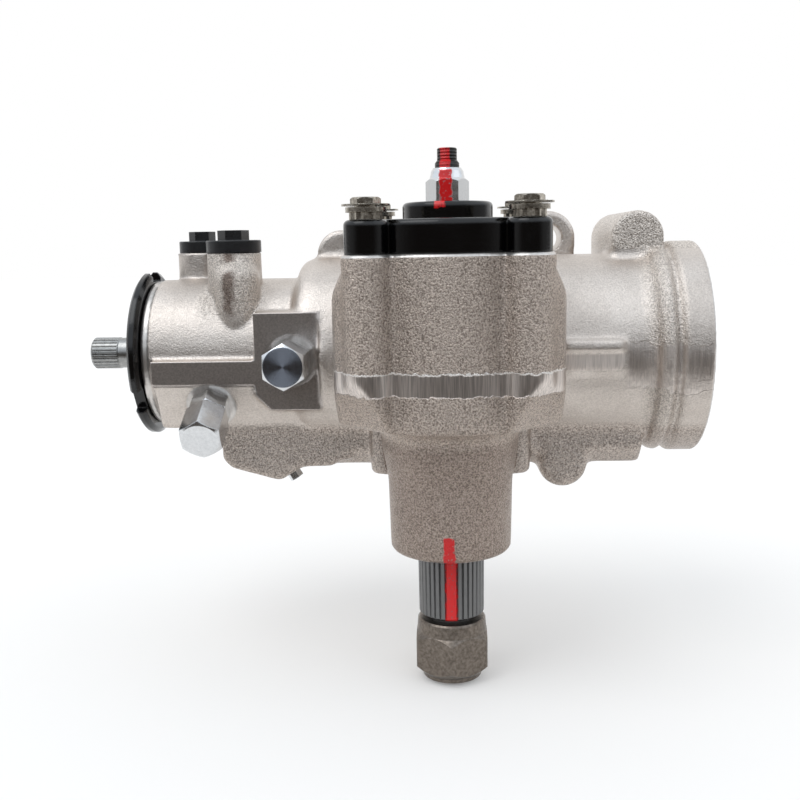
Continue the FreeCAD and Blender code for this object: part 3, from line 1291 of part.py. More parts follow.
def assist_adapter():
    top = ADAPTER_HEX_H
    nose_top = top + CAP_GAP + CAP_LENGTH - CAP_WALL - 3.0
    hex_part = hexagon_z(ADAPTER_AF, 0, top, 30)
    corner = ADAPTER_AF / 2 / math.cos(math.pi / 6)
    dome = revolved_z([
        (0, 0), (corner - 1, 0), (corner, 0.6), (corner, top - 0.7), (ADAPTER_AF / 2, top), (0, top)])
    stem = revolved_z([
        (0, -ADAPTER_STEM_L), (ADAPTER_STEM_R - 1, -ADAPTER_STEM_L), (ADAPTER_STEM_R, 1 - ADAPTER_STEM_L),
        (ADAPTER_STEM_R, nose_top - 3), (ADAPTER_NOSE_R, nose_top), (0, nose_top)])
    shape = fused([hex_part.common(dome), stem])
    return shape.cut(cyl_z(ADAPTER_BORE_R, -ADAPTER_STEM_L - 1, nose_top + 1))


def assist_cap():
    bottom = ADAPTER_HEX_H + CAP_GAP
    top = bottom + CAP_LENGTH
    corner = CAP_AF / 2 / math.cos(math.pi / 6)
    dome = revolved_z([
        (0, bottom), (corner - 1, bottom), (corner, bottom + 0.7), (corner, top - 1.3), (CAP_FACE_R, top), (0, top)])
    shape = hexagon_z(CAP_AF, bottom, top, 30).common(dome)
    return shape.cut(cyl_z(ADAPTER_STEM_R + SEAT_GAP, bottom - 1, top - CAP_WALL))


# Bleed screw

def bleed_screw():
    base, direction = bleed_frame()
    head = hexagon_z(2 * BLEED_SCREW_R * math.cos(math.pi / 6), 0, BLEED_SCREW_H)
    shape = fused([head, cyl_z(BLEED_SHANK_R, -BLEED_SHANK_L, 1)])
    return along(shape, base, direction)


def all_nodes():
    """Every node's solids in the gear frame, by node name."""
    first_seal, second_seal = seal_tops()
    lower_thrust = thrust_bearing(WEB_LEFT_X, -1)
    upper_thrust = thrust_bearing(ADJUSTER_PLUG_RIGHT_X, 1)
    nodes = {
        "gear_housing": [gear_housing()],
        "side_cover": [side_cover()],
        "side_cover_seal": [side_cover_seal()],
        "cover_bolts": at_cover_bolts(cover_bolt()),
        "cover_bolt_collars": at_cover_bolts(cover_bolt_collar()),
        "cover_bolt_washers": at_cover_bolts(cover_bolt_washer()),
        "cover_bolt_clips": at_cover_bolts(cover_bolt_clip()),
        "adjuster_screw": [adjuster_screw()],
        "adjuster_lock_nut": [adjuster_lock_nut()],
        "adjuster_retainer": [adjuster_retainer()],
        "sector_shaft": [sector_shaft()],
        "pitman_nut": [pitman_nut()],
        "sector_upper_bushing": [sector_upper_bushing()],
        "sector_bearing_cup": [sector_bearing_cup()],
        "sector_bearing_needles": sector_bearing_needles(),
        "sector_inner_seal": [lip_seal(first_seal)],
        "sector_outer_seal": [lip_seal(second_seal)],
        "sector_backup_washers": [backup_washer(first_seal - SEAL_H), backup_washer(second_seal - SEAL_H)],
        "sector_retaining_ring": [sector_circlip()],
        "rack_piston": [rack_piston()],
        "piston_end_plug": [piston_end_plug()],
        "piston_ring": [piston_ring()],
        "recirculating_balls": recirculating_balls(),
        "ball_return_guide": [ball_return_guide()],
        "guide_clamp": [guide_clamp()],
        "worm": [worm()],
        "torsion_bar": [torsion_bar()],
        "valve_body": [valve_body()],
        "valve_rings": valve_rings(),
        "valve_spool": [valve_spool()],
        "lower_thrust_races": [lower_thrust[0], lower_thrust[2]],
        "lower_thrust_cage": [lower_thrust[1]],
        "upper_thrust_races": [upper_thrust[0], upper_thrust[2]],
        "upper_thrust_cage": [upper_thrust[1]],
        "stub_shaft": [stub_shaft()],
        "stub_bearing": [stub_bearing()],
        "stub_seal": [stub_seal()],
        "stub_dust_seal": [stub_dust_seal()],
        "stub_retaining_ring": [stub_retaining_ring()],
        "adjuster_plug": [adjuster_plug()],
        "adjuster_plug_seal": [adjuster_plug_seal()],
        "adjuster_lock_ring": [adjuster_lock_ring()],
        "housing_end_plug": [housing_end_plug()],
        "end_plug_seal": [end_plug_seal()],
        "end_plug_clip": [end_plug_clip()],
        "front_port_cap": [port_cap(FRONT_PORT_X, FRONT_PORT_Y, CAP_FLANGE_R, CAP_KNOB_R)],
        "rear_port_cap": [port_cap(REAR_PORT_X, REAR_PORT_Y, REAR_CAP_FLANGE_R, REAR_CAP_KNOB_R)],
        "front_port_seat": [port_seat(FRONT_PORT_X, FRONT_PORT_Y)],
        "rear_port_seat": [port_seat(REAR_PORT_X, REAR_PORT_Y)],
        "bleed_screw": [bleed_screw()],
    }
    for name, (base, direction) in fitting_frames():
        nodes[name + "_assist_adapter"] = [along(assist_adapter(), base, direction)]
        nodes[name + "_assist_cap"] = [along(assist_cap(), base, direction)]
    return nodes


def main():
    os.makedirs("parts", exist_ok=True)
    for name, solids in all_nodes().items():
        shape = solids[0] if len(solids) == 1 else Part.makeCompound(solids)
        shape.translate(ORIGIN * -1)
        shape.exportStep("parts/" + name + ".step")


main()
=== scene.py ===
"""Looks of the steering gearbox: cast housing, black cover, plated fittings, floor, lights and camera."""
import math
from types import SimpleNamespace

import bmesh
import bpy
import numpy as np
from mathutils import Matrix, Vector

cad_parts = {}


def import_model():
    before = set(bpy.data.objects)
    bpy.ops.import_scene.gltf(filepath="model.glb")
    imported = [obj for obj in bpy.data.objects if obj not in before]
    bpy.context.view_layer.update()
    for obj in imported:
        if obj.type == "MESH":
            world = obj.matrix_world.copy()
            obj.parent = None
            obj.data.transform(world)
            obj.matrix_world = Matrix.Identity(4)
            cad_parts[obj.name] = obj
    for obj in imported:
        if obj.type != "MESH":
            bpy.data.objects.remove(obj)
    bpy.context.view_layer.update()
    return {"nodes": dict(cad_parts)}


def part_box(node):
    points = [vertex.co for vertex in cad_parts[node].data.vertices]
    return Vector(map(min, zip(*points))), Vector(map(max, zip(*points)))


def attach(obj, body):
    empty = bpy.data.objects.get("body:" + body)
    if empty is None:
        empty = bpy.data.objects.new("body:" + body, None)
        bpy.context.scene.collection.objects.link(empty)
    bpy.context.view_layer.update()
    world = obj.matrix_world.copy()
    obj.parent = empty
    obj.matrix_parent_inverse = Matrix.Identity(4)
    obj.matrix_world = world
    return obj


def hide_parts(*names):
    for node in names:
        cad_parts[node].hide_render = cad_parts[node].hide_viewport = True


# Places, in metres in the row's frame: the sector shaft's axis, and the floor under the shaft's end
SECTOR_X = -0.0535
SECTOR_Y = -0.116
FLOOR_Z = -0.2066
FLOOR_GAP = 0.0002

# Camera, solved from the photograph
CAMERA_PLACE = (-0.05306, -0.55776, -0.001)
CAMERA_RIGHT = (0.998602, 0.049582, -0.018468)
CAMERA_FORWARD = (-0.0519, 0.98576, -0.15997)
CAMERA_LENS = 43.67
CAMERA_SENSOR = 36.0
CAMERA_CLIP = 0.01

# Casting's mesh, in metres, and how far its joins are softened
VOXEL = 0.0010
WELD = 1e-6
SMOOTH_STEPS = 24
SMOOTH_RATE = 0.5

# Gear frame, in millimetres: it starts on the sector shaft's axis at the height of the worm.
# In it the row's origin, which is the middle of a mounting hole, and the cylinder's axis lie at
ROW_ORIGIN = (53.5, 116.0, 55.6)
TUBE_AXIS_Y = 60.0

# Machined places of the housing that stay as cut, in the gear frame
COVER_SEAT_Z = 46.0
COVER_SEAT_REACH = 50.0
COVER_FACE_Z = 50.2
FLANGE_FACE_X = 109.0
VALVE_FACE_X = -146.0
PAD_FACE_Y = 18.0
PAD_FACE_DEPTH = 1.0
PAD_FACE_EDGE_X = -61.0
PAD_FACE_LOW = -25.5
PAD_FACE_HIGH = 23.5
BOSS_FACE_Z = -85.0
MOUNT_PAD_Y = 113.5
MOUNT_HOLE_R = 9.0
PISTON_BORE_R = 39.9
SECTOR_BORE_R = 37.2
SPOTFACE_MARGIN = 1.2
SPOTFACE_DEPTH = 6.0

# Boss skin round the sector's bore, which softens all the same
BOSS_SKIN_R = 44.0
BOSS_SKIN_LOW = -84.0
BOSS_SKIN_HIGH = -27.0

# Low cast forms on the cylinder, in the gear frame: spans, heights and how softly they rise
TUBE_SKIN = (43.0, 53.0)
TUBE_SKIN_EDGE = 1.5
RING_SPAN = (96.5, 105.5)
RING_EDGE = 2.5
RING_HEIGHT = 1.1
GROOVE_SPAN = (105.0, 109.0)
GROOVE_EDGE = 1.5
GROOVE_DEPTH = 0.9
TONGUE_SPAN = (50.0, 84.0)
TONGUE_END = 5.0
TONGUE_RISE = (1.6, 9.6)
TONGUE_EDGE = 2.6
TONGUE_HEIGHT = 1.6

# Colours of the casting
CAST_METALLIC = 0.95
CAST_COLOR = (0.67, 0.61, 0.56)
CAST_DARK = (0.54, 0.485, 0.44)
GRAIN_DARK = (0.24, 0.208, 0.18)
GRAIN_LIGHT = (0.97, 0.89, 0.81)
BODY_SHADE = (0.75, 0.70, 0.67)
LOW_SHADE = (0.76, 0.73, 0.72)
# Painted reflection: how much darker the stripe down the front port's boss is, where it stands in for the
# dark room mirrored there
PAINTED_REFLECTION_SHADE = (0.34, 0.30, 0.28)
LAND_COLOR = (0.96, 0.88, 0.82)
LAND_DARK = (0.66, 0.60, 0.55)
GROUND_COLOR = (0.80, 0.725, 0.67)
GROUND_DARK = (0.46, 0.415, 0.385)
FLAT_COLOR = (0.54, 0.49, 0.46)
FLAT_DARK = (0.38, 0.345, 0.32)
TURNED_COLOR = (0.70, 0.67, 0.64)
TURNED_DARK = (0.56, 0.53, 0.50)
FLASH_COLOR = (0.92, 0.88, 0.84)

# Grain of the casting: noise scales, shares of the grit colour and of the relief, and roughness
FINE_SCALE = 1300.0
SAND_SCALE = 760.0
GRAIN_MIX = 0.6
LUMP_SCALE = 230.0
LUMP_SHARE = 0.7
CLOUD_SCALE = 34.0
CLOUD_RANGE = (0.36, 0.66)
GRIT_RANGE = (0.36, 0.62)
PLAIN_GRIT = 0.18
COARSE_GRIT = 0.75
PLAIN_RELIEF = 0.34
RELIEF_DEPTH = 0.00078
LINE_SCALE = 1500.0
LINE_STRETCH = (1.0, 1.0, 0.05)
LINE_DEPTH = 0.00010
MILLED_SCALE = 700.0
MILLED_STRETCH = (1.0, 1.0, 0.06)
SPECK_SCALE = 1300.0
SKIN_ROUGHNESS = (0.30, 0.40)
WORKED_ROUGHNESS = 0.34
LAND_ROUGHNESS = 0.55
NOISE_RANGE = (0.3, 0.7)

# Where the housing was ground or machined, in metres in the row's frame
BODY_LEFT_X = -0.1036
BODY_RIGHT_X = -0.0034
BODY_BACK_Y = -0.116
BODY_BAND_LOW = -0.0650
BODY_BAND_HIGH = -0.0556
FLASH_BELOW = 0.0001
FLASH_ABOVE = 0.0006
FLASH_EDGE = 0.0001
END_BAND_LEFT_X = 0.0300
END_BAND_LOW = -0.0715
END_BAND_HIGH = -0.0495
END_BAND_SHARE = 0.55
LAND_LEFT_X = 0.0006
LAND_RIGHT_X = 0.0284
LAND_Y = -0.1040
LAND_TOP_Z = -0.0535
PAD_Y = -0.0980
PAD_FRONT = 0.0011
PAD_BEHIND = 0.0005
PAD_RIGHT_X = -0.1146
PAD_LOW = -0.0811
PAD_HIGH = -0.0323
PAD_EDGE = 0.0001
FLANGE_EDGE_X = 0.0683
VALVE_EDGE_X = -0.2005
LEDGE_Z = -0.0070
LEDGE_BACK_Y = -0.066
LEDGE_MARGIN = 0.002
BOSS_END_Z = -0.1422
MOUNT_FACE_Y = -0.0010

# How raggedly the ground bands end: the noise's size in metres, its scale, detail and mix
RAGGED = (0.0040, 300.0, 4.0, 0.6)
BROAD = (0.0120, 75.0, 2.0)

# Where the skin is coarse, in metres in the row's frame
BODY_EDGE = 0.002
BODY_SKIN_BACK = 0.012
ROUGH_BELOW_Z = -0.0900
ROUGH_EDGE = 0.002
RIDGE_LEFT_X = 0.0400
RIDGE_RIGHT_X = 0.0555
RIDGE_EDGE = 0.003
RIDGE_SHARE = 0.7
LUG_LEFT_X = 0.0150
LUG_RIGHT_X = 1.0
LUG_ABOVE_Z = -0.0060
BOSS_REACH = 0.0360
BOSS_EDGE = 0.003

# Boss of the front port, and the dark stripe down its front, a painted reflection of the dark room, placed
# from the middle of its cap
LOBE_LOW_Z = -0.0350
LOBE_HIGH_Z = 0.0120
LOBE_Z_EDGE = 0.004
LOBE_MARGIN = 0.002
LOBE_EDGE = 0.003
LOBE_SHARE = 0.8
REFLECTION_LEFT = 0.0030
REFLECTION_RIGHT = 0.0034
REFLECTION_EDGE = 0.0018
REFLECTION_NOISE = (0.0060, 260.0, 3.0)

# Which way a surface faces: the part of its direction at which a mask is whole, and where it ends
TOWARD_FRONT = (-0.35, -0.15)
LOBE_FRONT = (-0.4, -0.1)
PAD_FRONTAL = (-0.9, -0.7)
# Facing of the painted dark reflection on the front port's boss
REFLECTION_FRONTAL = (-0.9, -0.75)
LEDGE_UPWARD = 0.3
BOSS_END_DOWNWARD = -0.5

# Fittings: a point on each face that was cut for one, and the way out of it
UPPER_FITTING = ((-0.1288, -0.0974, -0.0558), (0.0, -1.0, 0.0))
LOWER_FITTING = ((-0.1705, -0.0923, -0.0786), (0.0, -0.8914, -0.4532))
SPOTFACE_R = 0.0124
SPOTFACE_LOW = -0.002
SPOTFACE_HIGH = 0.0014

# Paint marks: lowest and highest X, lowest and highest Z, and the Y in front of which there is paint
PAINT_RED = (0.72, 0.012, 0.014)
BOSS_PAINT = (SECTOR_X - 0.0034, SECTOR_X + 0.0018, -0.146, -0.1305, SECTOR_Y - 0.022)
COVER_PAINT = (-0.0590, -0.0545, 0.0136, 0.0175, SECTOR_Y - 0.0165)
SCREW_PAINT = (-0.0566, -0.0522, 0.0280, 0.0400, SECTOR_Y - 0.0015)
NUT_PAINT = (-0.0570, -0.0514, 0.0162, 0.0305, SECTOR_Y - 0.0030)
SPLINE_PAINT = (SECTOR_X - 0.0026, SECTOR_X + 0.0026, -0.1762, -0.1440, SECTOR_Y - 0.0120)
PAINT_UNEVEN = (0.0022, 330.0, 3.0)
PAINT_EDGE = 0.0003
PAINT_WEAR_SCALE = 800.0
PAINT_WEAR_RANGE = (0.30, 0.40)
PAINT_THINNEST = 0.35

# Black metal and plastic: colour, roughness, how round their edges look, and their grain
BLACK_METAL = (0.0010, 0.0010, 0.0013)
BLACK_METAL_ROUGHNESS = (0.08, 0.16)
BLACK_METAL_EDGE = 0.0011
BLACK_METAL_CLOUD = 160.0
BLACK_METAL_GRAIN = 900.0
BLACK_METAL_DEPTH = 0.00004
BLACK_PLASTIC = (0.010, 0.010, 0.011)
BLACK_PLASTIC_ROUGHNESS = (0.26, 0.40)
BLACK_PLASTIC_EDGE = 0.0006
BLACK_PLASTIC_CLOUD = 300.0
BLACK_PLASTIC_GRAIN = 1400.0
BLACK_PLASTIC_DEPTH = 0.00006

# Plated and bare metals: dark and light colour, lowest and highest roughness, and some their cloud's scale
BARE_STEEL = ((0.46, 0.45, 0.44), (0.58, 0.57, 0.56), 0.24, 0.34)
STUB_STEEL = ((0.30, 0.30, 0.295), (0.38, 0.38, 0.37), 0.26, 0.34, 400.0)
PLUG_STEEL = ((0.47, 0.46, 0.45), (0.52, 0.51, 0.50), 0.26, 0.30, 220.0)
BOLT_PLATING = ((0.24, 0.215, 0.18), (0.56, 0.52, 0.45), 0.16, 0.26)
NUT_PHOSPHATE = ((0.13, 0.11, 0.092), (0.24, 0.205, 0.175), 0.28, 0.40)
CAP_ZINC = ((0.64, 0.65, 0.66), (0.74, 0.75, 0.76), 0.14, 0.22)
FACED_ZINC = ((0.66, 0.67, 0.68), (0.74, 0.75, 0.76), 0.18, 0.26)
SEAT_BRASS = ((0.60, 0.44, 0.20), (0.80, 0.62, 0.32), 0.24, 0.36)
SCREW_STEEL = ((0.03, 0.029, 0.028), (0.09, 0.087, 0.084), 0.26, 0.40)
LOCK_NUT_ZINC = ((0.60, 0.61, 0.62), (0.70, 0.71, 0.72), 0.12, 0.20)
SPLINE_STEEL = ((0.10, 0.10, 0.10), (0.25, 0.25, 0.25), 0.28, 0.40)
PLATE_CLOUD = 700.0
PLATE_RANGE = (0.32, 0.68)
PLATE_WEAR = 420.0
PLATE_GRAIN = 1500.0
PLATE_DEPTH = 0.00003
PLATE_EDGE = 0.0004
BEVEL_SAMPLES = 4

# Colours that lie under paint, the screw's thread, and the turned face of the upper cap
SCREW_COLOR = (0.06, 0.058, 0.056)
LOCK_NUT_COLOR = (0.68, 0.69, 0.70)
SPLINE_COLOR = (0.18, 0.18, 0.18)
THREAD_PITCH = 0.0014
THREAD_DEPTH = 0.0002
FACED_COLOR = (0.70, 0.71, 0.72)
FACE_RING_DARK = (0.17, 0.185, 0.22)
FACE_RING_LIGHT = (0.25, 0.27, 0.31)
FACE_RING_PITCH = 0.0005
FACE_RING_DEPTH = 0.00003
FACE_SKIN = 0.0002

# Room round the object: pale above, behind and beside it, darker behind the camera
ROOM_FRONT = (0.085, 0.072, 0.062)
ROOM_SIDE = (0.34, 0.335, 0.335)
ROOM_TOP = (0.98, 1.05, 1.13)
ROOM_BACK = (1.0, 1.0, 1.0)
ROOM_FRONT_EDGE = -0.82
ROOM_SIDE_EDGE = -0.30
ROOM_BACK_START = 0.30
ROOM_BACK_EDGE = 0.75
ROOM_SIDE_TOP = 0.06
ROOM_TOP_EDGE = 0.32
BACKDROP = (1.0, 1.0, 1.0)

# Two soft suns: place, strength and spread in degrees
KEY_SUN = ((-0.50, -0.40, 0.95), 0.7, 40.0)
FILL_SUN = ((0.85, -0.25, 0.55), 0.12, 45.0)

# Floor, whose front edge is kept out of the object's reflections
FLOOR_COLOR = (0.735, 0.715, 0.69)
FLOOR_LIFT = 0.19
FLOOR_REACH = 6.0
FLOOR_FRONT_Y = -0.31

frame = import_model()


# Material helpers

class Shader:
    """Small wrapper round one material's node tree."""

    def __init__(self, name, color, metallic, roughness):
        self.material = bpy.data.materials.new(name)
        self.material.use_nodes = True
        self.tree = self.material.node_tree
        self.bsdf = self.tree.nodes["Principled BSDF"]
        self.bsdf.inputs["Base Color"].default_value = (*color, 1.0)
        self.bsdf.inputs["Metallic"].default_value = metallic
        self.bsdf.inputs["Roughness"].default_value = roughness
        coords = self.tree.nodes.new("ShaderNodeTexCoord")
        self.place = coords.outputs["Object"]
        self.normal = None

    def node(self, kind, **settings):
        made = self.tree.nodes.new(kind)
        for key, value in settings.items():
            setattr(made, key, value)
        return made

    def link(self, source, target):
        self.tree.links.new(source, target)

    def noise(self, scale, detail=3.0, roughness=0.5, place=None):
        made = self.node("ShaderNodeTexNoise")
        made.inputs["Scale"].default_value = scale
        made.inputs["Detail"].default_value = detail
        made.inputs["Roughness"].default_value = roughness
        self.link(place or self.place, made.inputs["Vector"])
        return made.outputs["Fac"]

    def uneven(self, size, *noise):
        """Noise about zero, for ragged edges."""
        centred = self.math("SUBTRACT", self.noise(*noise), 0.5)
        return self.math("MULTIPLY", centred, size)

    def math(self, operation, first, second=None):
        made = self.node("ShaderNodeMath", operation=operation)
        for index, value in enumerate((first, second)):
            if value is None:
                continue
            if isinstance(value, (int, float)):
                made.inputs[index].default_value = value
            else:
                self.link(value, made.inputs[index])
        return made.outputs[0]

    def span(self, source, low, high, to_low, to_high):
        made = self.node("ShaderNodeMapRange")
        made.inputs["From Min"].default_value = low
        made.inputs["From Max"].default_value = high
        made.inputs["To Min"].default_value = to_low
        made.inputs["To Max"].default_value = to_high
        self.link(source, made.inputs["Value"])
        return made.outputs["Result"]

    def falling(self, source, low, high):
        """1 below the span and 0 above it."""
        return self.span(source, low, high, 1.0, 0.0)

    def mixed(self, factor, first, second):
        made = self.node("ShaderNodeMix", data_type="RGBA")
        self.link(factor, made.inputs[0])
        for index, value in ((6, first), (7, second)):
            if isinstance(value, tuple):
                made.inputs[index].default_value = (*value, 1.0)
            else:
                self.link(value, made.inputs[index])
        return made.outputs[2]

    def clouded(self, source, dark, light, limits=NOISE_RANGE):
        """A colour between two, as the source goes through its limits."""
        return self.mixed(self.span(source, *limits, 0.0, 1.0), dark, light)

    def shaded(self, factor, first, shade):
        """The colour, multiplied by the shade where the factor is 1."""
        made = self.node("ShaderNodeMix", data_type="RGBA", blend_type="MULTIPLY")
        self.link(factor, made.inputs[0])
        self.link(first, made.inputs[6])
        made.inputs[7].default_value = (*shade, 1.0)
        return made.outputs[2]

    def bump(self, height, distance):
        """Adds a relief over those that were laid before it."""
        made = self.node("ShaderNodeBump")
        made.inputs["Distance"].default_value = distance
        self.link(height, made.inputs["Height"])
        if self.normal is not None:
            self.link(self.normal, made.inputs["Normal"])
        self.normal = made.outputs["Normal"]
        self.link(self.normal, self.bsdf.inputs["Normal"])

    def rounded(self, radius):
        """Lets sharp edges catch the light as a slightly broken edge does."""
        made = self.node("ShaderNodeBevel", samples=BEVEL_SAMPLES)
        made.inputs["Radius"].default_value = radius
        self.normal = made.outputs["Normal"]

    def color(self, source):
        self.link(source, self.bsdf.inputs["Base Color"])

    def roughness(self, source):
        self.link(source, self.bsdf.inputs["Roughness"])

    def axes(self):
        made = self.node("ShaderNodeSeparateXYZ")
        self.link(self.place, made.inputs[0])
        return made.outputs

    def facing(self):
        """The surface's own direction, as X, Y and Z."""
        made = self.node("ShaderNodeSeparateXYZ")
        geometry = self.node("ShaderNodeNewGeometry")
        self.link(geometry.outputs["Normal"], made.inputs[0])
        return made.outputs

    def stretched(self, scale):
        made = self.node("ShaderNodeMapping")
        made.inputs["Scale"].default_value = scale
        self.link(self.place, made.inputs["Vector"])
        return made.outputs[0]

    def vector(self, operation, first, second=None):
        """A vector sum, product or length, whose second vector is a plain one."""
        made = self.node("ShaderNodeVectorMath", operation=operation)
        self.link(first, made.inputs[0])
        if second is not None:
            made.inputs[1].default_value = second
        return made.outputs

    def inside(self, source, low, high, edge=0.0002):
        """1 where the source lies between two values, with a soft edge."""
        rising = self.span(source, low - edge, low + edge, 0.0, 1.0)
        return self.math("MULTIPLY", rising, self.falling(source, high - edge, high + edge))

    def all_of(self, *masks):
        result = masks[0]
        for mask in masks[1:]:
            result = self.math("MULTIPLY", result, mask)
        return result

    def any_of(self, *masks):
        result = masks[0]
        for mask in masks[1:]:
            result = self.math("MAXIMUM", result, mask)
        return result

    def toward(self, value, factor, target):
        """The value, moved to the target where the factor is 1."""
        if isinstance(value, (int, float)):
            return self.span(factor, 0.0, 1.0, value, target)
        return self.math("ADD", value, self.math("MULTIPLY", factor, self.math("SUBTRACT", target, value)))


def paint_mask(shader, x_low, x_high, z_low, z_high, y_high):
    """Where a brushed paint mark lies on the front of a piece, with uneven sides."""
    x, y, z = shader.axes()
    uneven = shader.uneven(*PAINT_UNEVEN)
    across = shader.inside(shader.math("ADD", x, uneven), x_low, x_high, PAINT_EDGE)
    along = shader.inside(shader.math("ADD", z, uneven), z_low, z_high, PAINT_EDGE)
    front = shader.math("LESS_THAN", y, y_high)
    worn = shader.span(shader.noise(PAINT_WEAR_SCALE), *PAINT_WEAR_RANGE, PAINT_THINNEST, 1.0)
    return shader.all_of(across, along, front, worn)


def painted(shader, base_color, base_metallic, mark):
    """Lays a paint mark over a base colour."""
    mask = paint_mask(shader, *mark)
    shader.color(shader.mixed(mask, base_color, PAINT_RED))
    shader.link(shader.toward(base_metallic, mask, 0.0), shader.bsdf.inputs["Metallic"])


# Masks of the casting

def ground_masks(shader, facing_y):
    """The parting line's ground bands, the ground land, and the flash left above the body's band."""
    x, y, z = shader.axes()
    front = shader.falling(facing_y, *TOWARD_FRONT)
    wavy = shader.math("ADD", z, shader.uneven(*RAGGED))
    across = shader.inside(x, BODY_LEFT_X, BODY_RIGHT_X)
    body = shader.all_of(front, across, shader.math("LESS_THAN", y, BODY_BACK_Y))
    body_band = shader.all_of(body, shader.inside(wavy, BODY_BAND_LOW, BODY_BAND_HIGH))
    flash_low = BODY_BAND_HIGH - FLASH_BELOW
    flash_high = BODY_BAND_HIGH + FLASH_ABOVE
    flash = shader.all_of(body, shader.inside(wavy, flash_low, flash_high, FLASH_EDGE))
    ends = shader.all_of(front, shader.math("GREATER_THAN", x, END_BAND_LEFT_X))
    broad = shader.math("ADD", wavy, shader.uneven(*BROAD))
    end_band = shader.all_of(ends, shader.inside(broad, END_BAND_LOW, END_BAND_HIGH))
    end_band = shader.math("MULTIPLY", end_band, END_BAND_SHARE)
    land = shader.all_of(
        front, shader.inside(x, LAND_LEFT_X, LAND_RIGHT_X), shader.math("LESS_THAN", y, LAND_Y),
        shader.math("LESS_THAN", wavy, LAND_TOP_Z))
    return shader.any_of(body_band, end_band), land, flash


def flat_mask(shader, facing_y):
    """The milled pad and the strip beside it."""
    x, y, z = shader.axes()
    return shader.all_of(
        shader.inside(y, PAD_Y - PAD_FRONT, PAD_Y + PAD_BEHIND), shader.math("LESS_THAN", x, PAD_RIGHT_X),
        shader.inside(z, PAD_LOW, PAD_HIGH, PAD_EDGE), shader.falling(facing_y, *PAD_FRONTAL))


def turned_mask(shader, facing_z):
    """Ends, ledge and mounting faces that were turned or milled bright."""
    x, y, z = shader.axes()
    ledge = shader.all_of(
        shader.math("GREATER_THAN", z, LEDGE_Z), shader.math("GREATER_THAN", facing_z, LEDGE_UPWARD),
        shader.math("LESS_THAN", y, LEDGE_BACK_Y),
        shader.inside(x, BODY_LEFT_X - LEDGE_MARGIN, BODY_RIGHT_X + LEDGE_MARGIN))
    boss_end = shader.all_of(
        shader.math("LESS_THAN", z, BOSS_END_Z), shader.math("LESS_THAN", facing_z, BOSS_END_DOWNWARD))
    return shader.any_of(
        shader.math("GREATER_THAN", x, FLANGE_EDGE_X), shader.math("LESS_THAN", x, VALVE_EDGE_X),
        shader.math("GREATER_THAN", y, MOUNT_FACE_Y), ledge, boss_end)


def spotface_mask(shader):
    """Round faces cut for the two fittings, from the distance to each fitting's own axis."""
    masks = []
    for base, direction in (UPPER_FITTING, LOWER_FITTING):
        offset = shader.vector("SUBTRACT", shader.place, base)[0]
        cross = shader.vector("CROSS_PRODUCT", offset, direction)[0]
        reach = shader.vector("LENGTH", cross)["Value"]
        height = shader.vector("DOT_PRODUCT", offset, direction)["Value"]
        near = shader.math("LESS_THAN", reach, SPOTFACE_R)
        masks.append(shader.all_of(near, shader.inside(height, SPOTFACE_LOW, SPOTFACE_HIGH)))
    return shader.any_of(*masks)


def coarse_masks(shader):
    """Where sand left a coarser skin than the tube's, and of that the body and the lower forms."""
    x, y, z = shader.axes()
    body = shader.all_of(
        shader.inside(x, BODY_LEFT_X, BODY_RIGHT_X, BODY_EDGE),
        shader.math("LESS_THAN", y, BODY_BACK_Y + BODY_SKIN_BACK))
    low = shader.falling(z, ROUGH_BELOW_Z - ROUGH_EDGE, ROUGH_BELOW_Z + ROUGH_EDGE)
    ridge = shader.math("MULTIPLY", shader.inside(x, RIDGE_LEFT_X, RIDGE_RIGHT_X, RIDGE_EDGE), RIDGE_SHARE)
    above = shader.math("GREATER_THAN", z, LUG_ABOVE_Z)
    lug = shader.math("MULTIPLY", above, shader.inside(x, LUG_LEFT_X, LUG_RIGHT_X))
    return shader.any_of(body, low, ridge, lug), body, low


def lobe_masks(shader, facing_y):
    """The front port's boss, whose skin is coarse, and the dark stripe down its front, a painted reflection
    of the dark room.
    """
    low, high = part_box("front_port_cap")
    middle = (low.x + high.x) / 2
    x, y, z = shader.axes()
    around = shader.all_of(
        shader.inside(x, low.x - LOBE_MARGIN, high.x + LOBE_MARGIN, LOBE_EDGE),
        shader.inside(z, LOBE_LOW_Z, LOBE_HIGH_Z, LOBE_Z_EDGE),
        shader.falling(facing_y, *LOBE_FRONT))
    # Painted reflection: a dark stripe down the boss's front, in place of the dark room mirrored there
    wavy = shader.math("ADD", x, shader.uneven(*REFLECTION_NOISE))
    stripe = shader.all_of(
        shader.inside(wavy, middle - REFLECTION_LEFT, middle + REFLECTION_RIGHT, REFLECTION_EDGE), around,
        shader.falling(facing_y, *REFLECTION_FRONTAL))
    return shader.math("MULTIPLY", around, LOBE_SHARE), stripe


def cast_masks(shader):
    """Every mask of the casting by its name."""
    facing = shader.facing()
    masks = SimpleNamespace()
    masks.ground, masks.land, masks.flash = ground_masks(shader, facing[1])
    masks.flat = flat_mask(shader, facing[1])
    masks.turned = shader.any_of(turned_mask(shader, facing[2]), spotface_mask(shader))
    masks.worked = shader.any_of(masks.ground, masks.land, masks.flat, masks.turned)
    masks.skin = shader.math("SUBTRACT", 1.0, masks.worked)
    coarse, masks.body, masks.low = coarse_masks(shader)
    lobe, masks.stripe = lobe_masks(shader, facing[1])
    masks.coarse = shader.any_of(coarse, lobe)
    boss = shader.inside(shader.axes()[0], SECTOR_X - BOSS_REACH, SECTOR_X + BOSS_REACH, BOSS_EDGE)
    masks.lugs = shader.math("MULTIPLY", masks.low, shader.math("SUBTRACT", 1.0, boss))
    return masks


# Materials

